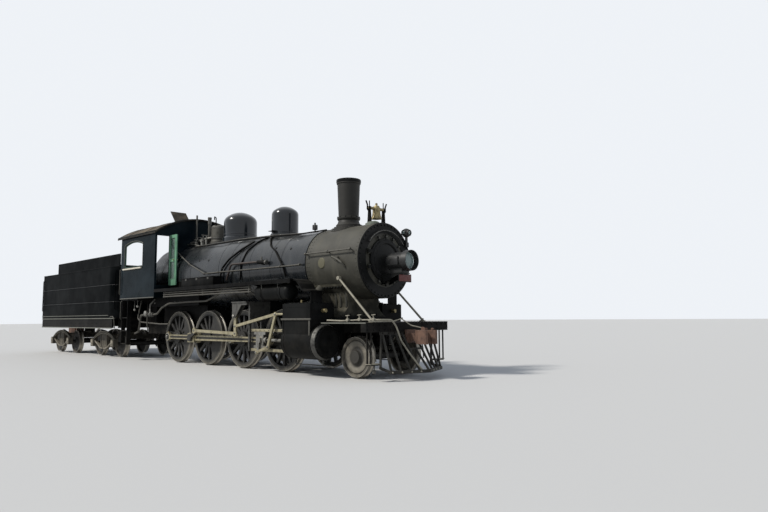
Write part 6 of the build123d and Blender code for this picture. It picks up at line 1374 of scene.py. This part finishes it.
def rod_details():
    """Bushing rings, oil cups, grooves, bolts and nuts of the side and main rods."""
    for side, hand in SIDES:
        face = side * 0.9745
        side_body, main_body = f"side_rod_{hand}_body", f"main_rod_{hand}_body"
        for number, pitches in DRIVER_PLACES:
            x, z = crank_place(side, pitches)
            if number != ROD_DRIVEN:
                turned(f"side_rod_bush_{hand}_{number}", [(0.086, 0.0), (0.086, 0.007), (0.104, 0.007),
                    (0.110, 0.0), (0.086, 0.0)], (x, face, z), (0, side, 0), STEEL, 36, body=side_body)
                nuts(f"crank_pin_nut_{hand}_{number}", [((x, side * 0.997, z), (0, side, 0))], 0.042, STEEL,
                    0.25, body=f"axle_{number}")
            boss = 0.145 if number == ROD_DRIVEN else 0.118
            rod(f"side_rod_oil_cup_{hand}_{number}", (x, side * SIDE_ROD_Y, z + boss - 0.01),
                (x, side * SIDE_ROD_Y, z + boss + 0.032), 0.021, BRASS, 12, 0.3, body=side_body)
        for number, pitches in enumerate((1, 0, -1), 1):
            x, z = crank_place(side, pitches)
            plate(f"side_rod_groove_{hand}_{number}", (x + 0.185, side * 0.959, z - 0.029),
                (x + DRIVER_PITCH - 0.185, side * 0.9625, z + 0.029), GROOVE, 0.0005, body=side_body)
        x, z = crank_place(side, 0)
        drop = math.asin((DRIVER_Z - z) / MAIN_ROD)
        groove = plate(f"main_rod_groove_{hand}", (-MAIN_ROD + 0.24, side * 0.017, -0.026),
            (-0.19, side * 0.0205, 0.026), GROOVE, 0.0005, body=main_body)
        start_x = x + MAIN_ROD * math.cos(drop)
        groove.data.transform(Matrix.Translation((start_x, side * MOTION_Y,
            DRIVER_Z)) @ Matrix.Rotation(-drop, 4, "Y"))
        along, across = Vector((math.cos(drop), 0, math.sin(drop))), Vector((-math.sin(drop), 0,
            math.cos(drop)))
        middle = Vector((x, side * MOTION_Y, z))
        bolts = [(middle + along * dx + across * up * 0.1255, across * up) for dx in (-0.12, 0.12)
            for up in (-1, 1)]
        nuts(f"big_end_bolts_{hand}", bolts, 0.024, STEEL, 0.8, body=main_body)
        rod(f"big_end_oil_cup_{hand}", middle + across * 0.12, middle + across * 0.165, 0.024, BRASS, 12, 0.3,
            body=main_body)


def gear_details():
    """Pins and nuts of the valve gear, and bolts of its brackets and guides."""
    for side, hand in SIDES:
        y = side * 1.264
        if side == RIGHT:
            pins = ((0.0, 0.952), (1.984, 0.898), (1.978, 1.573), (1.982, 1.078), (3.629, 1.358),
                (3.348, 0.609), (2.899, 0.467))
        else:
            pins = ((-0.2, 0.752), (1.775, 0.95), (2.097, 1.543), (1.861, 1.108), (3.512, 1.358),
                (3.692, 0.579), (3.236, 0.467))
        places = [(at(dx, y, z), (0, side, 0)) for dx, z in pins]
        nuts(f"valve_gear_pins_{hand}", places, 0.026, STEEL, 0.7)
    on_both(nuts, "trunnion_nut_right", [(at(1.98, -1.3025, 1.328), TO_RIGHT)], 0.04, STEEL, 0.6)
    guide = row(at(2.58, -1.1665, DRIVER_Z + GUIDE_FACE), at(3.94, -1.1665, DRIVER_Z + GUIDE_FACE), 9,
        TO_RIGHT)
    on_both(nuts, "guide_bolts_right", guide, 0.013, DULL_STEEL, 0.4)
    for place, z in (("top", DRIVER_Z + GUIDE_FACE), ("low", DRIVER_Z - GUIDE_FACE)):
        on_both(plate, f"guide_face_{place}_right", at(2.55, -1.16, z - 0.030), at(3.985, -1.166, z + 0.030),
            ROD, 0.001)
    yoke = [(at(2.54, -1.187, z), AHEAD) for z in (0.6, 0.75, 0.9, 1.25, 1.4, 1.5)]
    on_both(nuts, "yoke_bolts_right", yoke, 0.018, DULL_STEEL, 0.8)


wheel_details()
rod_details()
gear_details()


# Front end, firebox and bell
def front_end():
    """Train pipe, lifting lever, step treads, deck bolts and pilot bolts at the front."""
    bent_pipe("front_train_pipe", [(BEAM_X - 1.20, -1.24, 1.215), (BEAM_X - 0.75, -1.22, 1.20),
        (BEAM_X - 0.45, -1.10, 1.215), (BEAM_X + 0.01, -0.90, 1.22), (BEAM_X + 0.04, -0.60, 1.215),
        (BEAM_X + 0.06, -0.48, 1.08), (BEAM_X + 0.13, -0.42, 0.80), (BEAM_X + 0.30, -0.33, 0.52),
        (BEAM_X + 0.46, -0.16, 0.215)], 0.019, PALE_PIPE, 0.09)
    bent_pipe("front_lift_lever", [(BEAM_X - 0.05, -1.22, 1.23), (BEAM_X + 0.03, -1.20, 1.19),
        (BEAM_X + 0.035, -0.52, 1.19), (BEAM_X + 0.04, -0.30, 1.24), (BEAM_X + 0.16, -0.14, 1.10),
        (BEAM_X + 0.34, -0.02, 1.05)], 0.012, PALE_PIPE, 0.05)
    for index, (x, y, z) in enumerate(((-0.62, -1.20, 1.21), (-0.40, -1.08, 1.22), (-0.12, -0.96, 1.22))):
        turned(f"angle_cock_{index}", [(0.0, 0.05), (0.03, 0.046), (0.042, 0.02), (0.045, -0.02),
            (0.03, -0.046), (0.0, -0.05)], (BEAM_X + x, y, z), (0.5, -1, 0.2), PALE_PIPE, 18)
        rod(f"angle_cock_stem_{index}", (BEAM_X + x, y, z), (BEAM_X + x, y - 0.01, z + 0.10), 0.012,
            PALE_PIPE, 8)
        rod(f"angle_cock_handle_{index}", (BEAM_X + x - 0.05, y - 0.01, z + 0.095),
            (BEAM_X + x + 0.06, y - 0.01, z + 0.105), 0.009, PALE_PIPE, 8)
    on_both(plate, "beam_step_tread_right", (BEAM_X - 0.145, -0.885, 0.342), (BEAM_X + 0.005, -1.175, 0.356),
        PALE_PIPE, 0.004)
    on_both(rod, "beam_step_drop_right", (BEAM_X - 0.07, -1.0, 0.33), (BEAM_X - 0.07, -1.0, 0.20), 0.013,
        PIPE_GREY, 10)
    on_both(rod, "beam_step_weight_right", (BEAM_X - 0.07, -1.0, 0.235), (BEAM_X - 0.07, -1.0, 0.155), 0.036,
        PIPE_GREY, 14, 0.35)
    bolts = row((BEAM_X + 0.0005, -0.42, 1.12), (BEAM_X + 0.0005, -1.24, 1.12), 6, AHEAD)
    bolts += row((BEAM_X + 0.0005, -0.42, 1.02), (BEAM_X + 0.0005, -1.24, 1.02), 6, AHEAD)
    on_both(nuts, "beam_bolts_right", bolts, 0.017, FRAME, 0.8)
    deck = row(at(5.40, -1.27, 1.1685), at(6.58, -1.27, 1.1685), 14, UP)
    on_both(studs, "deck_rivets_right", deck, 0.010, FRAME, 0.6, 6)
    # The deck edge is pale grey as a painted highlight of its lit edge.
    on_both(plate, "deck_edge_right", at(5.29, -1.298, 1.148), (BEAM_X, -1.306, 1.170), LEDGE_HIGHLIGHT, 0.003)
    feet = []
    for index in range(1, 5):
        y = -0.195 * index
        feet.append((at(7.175 - 0.42 * abs(y) + 0.001, y, 0.182), (1, -0.42, 0)))
    on_both(studs, "pilot_foot_bolts_right", feet, 0.020, PALE_PIPE, 0.9)
    on_both(nuts, "brace_foot_nuts_right", [(at(6.256, -0.80, 1.195), UP), (at(6.344, -0.80, 1.195), UP)],
        0.014, DULL_STEEL, 0.9)
    on_both(bent_pipe, "wheel_guard_pipe_right", [at(5.95, -0.60, 0.63), at(6.14, -0.62, 0.90),
        at(6.22, -0.76, 0.86), at(6.34, -0.76, 0.62), at(6.36, -0.76, 0.37)], 0.014, PIPE_GREY, 0.09,
        body="pilot_truck_body")
    head = row((BEAM_X - 0.0195, -0.80, 0.948), (BEAM_X - 0.0195, 0.80, 0.948), 10, AHEAD)
    nuts("pilot_head_bolts", [p for p in head if abs(p[0].y) > 0.17], 0.014, FRAME, 0.8)
    rod("coupler_pin", at(7.15, 0.105, 0.985), at(7.15, 0.105, 1.045), 0.032, RUST, 14, 0.3)
    bent_pipe("coupler_lift_chain", [(BEAM_X + 0.34, -0.02, 1.05), (BEAM_X + 0.38, 0.0, 1.055),
        (BEAM_X + 0.40, 0.0, 1.03)], 0.014, RUST, 0.02)
    for index, z in enumerate((0.80, 0.90)):
        plate(f"coupler_knuckle_rib_{index}", at(7.02, 0.045, z), at(7.2, 0.19, z + 0.018), RUST, 0.004)
    rod("gauge_box_stalk", at(3.30, 0.20, 3.33), at(3.30, 0.20, 3.50), 0.017, FRAME, 10)
    plate("gauge_box", at(3.25, 0.15, 3.49), at(3.35, 0.25, 3.62), LAMP, 0.01)
    rod("gauge_box_cap", at(3.30, 0.20, 3.62), at(3.30, 0.20, 3.675), 0.022, LAMP, 12, 0.3)


def firebox_details():
    """Staybolts and corner plugs on the firebox sides."""
    bolts = []
    for z in (1.70, 1.81, 1.92, 2.03):
        bolts += row(at(-2.95, FIREBOX_Y, z), at(-0.38, FIREBOX_Y, z), 22, TO_RIGHT)
    on_both(studs, "staybolts_right", bolts, 0.012, FRAME, 0.6, 6)
    plugs = [(at(dx, FIREBOX_Y, 1.76), TO_RIGHT) for dx in (-2.86, -1.6, -0.42)]
    on_both(studs, "firebox_plugs_right", plugs, 0.035, DULL_STEEL, 0.6, 10)
    on_both(plate, "ashpan_lip_right", at(-2.90, -0.618, 1.16), at(-0.45, -0.632, 1.20), FRAME, 0.004)


def bell_details():
    """The pale foot of the bell stand, and the curved horns on its posts."""
    bell_x = MAIN_X + 5.67
    foot_place, foot_out = on_boiler(bell_x + 0.02, 101, -0.02)
    turned("bell_foot", [(0.0, 0.085), (0.08, 0.08), (0.12, 0.06), (0.15, 0.045), (0.165, 0.0), (0.0, 0.0)],
        foot_place, foot_out, BELL_FOOT, 36)
    on_both(bent_pipe, "bell_horn_right", [(bell_x, -0.225, 3.62), (bell_x, -0.29, 3.66),
        (bell_x, -0.285, 3.76), (bell_x, -0.33, 3.85)], 0.017, FRAME, 0.06)
    on_both(nuts, "bell_stand_nuts_right", [((bell_x + dx, -0.235, 3.354), UP) for dx in (-0.06, 0.06)],
        0.016, FRAME, 0.9)


front_end()
firebox_details()
bell_details()


# Light, floor and camera
SUN_STRENGTH, SUN_SOFTNESS, SUN_TILT, SUN_TURN = 3.4, 7, 48, -28
SKY_STRENGTH = 0.5
FLOOR_SIZE = 400


def world_and_light():
    """A pale studio: soft sun from the engine's right, plain ambient light, pale floor."""
    world = bpy.data.worlds.new("studio")
    bpy.context.scene.world = world
    world.use_nodes = True
    tree = world.node_tree
    shown = tree.nodes["Background"]
    shown.inputs["Color"].default_value = (0.86, 0.89, 0.93, 1)
    shown.inputs["Strength"].default_value = 1.0
    ambient = tree.nodes.new("ShaderNodeBackground")
    ambient.inputs["Color"].default_value = (0.78, 0.86, 1.0, 1)
    ambient.inputs["Strength"].default_value = SKY_STRENGTH
    path = tree.nodes.new("ShaderNodeLightPath")
    either, seen = tree.nodes.new("ShaderNodeMath"), tree.nodes.new("ShaderNodeMath")
    either.operation = seen.operation = "MAXIMUM"
    tree.links.new(path.outputs["Is Camera Ray"], seen.inputs[0])
    tree.links.new(path.outputs["Is Glossy Ray"], seen.inputs[1])
    tree.links.new(seen.outputs[0], either.inputs[0])
    tree.links.new(path.outputs["Is Transmission Ray"], either.inputs[1])
    choose = tree.nodes.new("ShaderNodeMixShader")
    tree.links.new(either.outputs[0], choose.inputs[0])
    tree.links.new(ambient.outputs[0], choose.inputs[1])
    tree.links.new(shown.outputs[0], choose.inputs[2])
    tree.links.new(choose.outputs[0], tree.nodes["World Output"].inputs["Surface"])
    bpy.ops.object.light_add(type="SUN", rotation=(math.radians(SUN_TILT), 0, math.radians(SUN_TURN)))
    sun = bpy.context.object
    sun.name = "soft_sun"
    sun.data.energy = SUN_STRENGTH
    sun.data.angle = math.radians(SUN_SOFTNESS)
    sun.data.color = (1.0, 0.96, 0.9)
    bpy.ops.mesh.primitive_plane_add(size=FLOOR_SIZE, location=(0, 0, 0))
    floor = bpy.context.object
    floor.name = "floor"
    floor.data.materials.append(floor_finish())


def floor_finish():
    """A plain pale floor, white to the camera away from the shadow."""
    material = bpy.data.materials.new("floor_pale")
    material.use_nodes = True
    shader = material.node_tree.nodes["Principled BSDF"]
    shader.inputs["Base Color"].default_value = (0.56, 0.56, 0.55, 1)
    shader.inputs["Roughness"].default_value = 0.9
    shader.inputs["Specular IOR Level"].default_value = 0.1
    return material


world_and_light()

# The camera where the photograph was taken, 768 by 512 frame, focal length found from the engine's own sizes
FOCAL_PIXELS = 604.93
FRAME_WIDTH = 768
SENSOR = 36
YAW, PITCH, ROLL = 2.32812, 0.100965, -0.007435
EYE = (15.0314 + MAIN_X, -9.6655, 1.2417 + RAIL_Z)


def photo_camera():
    """The camera at the photograph's place and angle."""
    bpy.ops.object.camera_add(location=EYE)
    camera = bpy.context.object
    ahead = Vector((math.cos(YAW) * math.cos(PITCH), math.sin(YAW) * math.cos(PITCH), math.sin(PITCH)))
    right = Vector((math.sin(YAW), -math.cos(YAW), 0))
    up = right.cross(ahead)
    turned_right = math.cos(ROLL) * right + math.sin(ROLL) * up
    turned_up = math.cos(ROLL) * up - math.sin(ROLL) * right
    columns = Matrix((turned_right, turned_up, -ahead)).transposed()
    camera.rotation_mode = "QUATERNION"
    camera.rotation_quaternion = columns.to_quaternion()
    camera.data.sensor_width = SENSOR
    camera.data.lens = FOCAL_PIXELS / FRAME_WIDTH * SENSOR
    camera.data.clip_end = 500
    bpy.context.scene.camera = camera


photo_camera()
bpy.context.scene.view_settings.view_transform = "Standard"
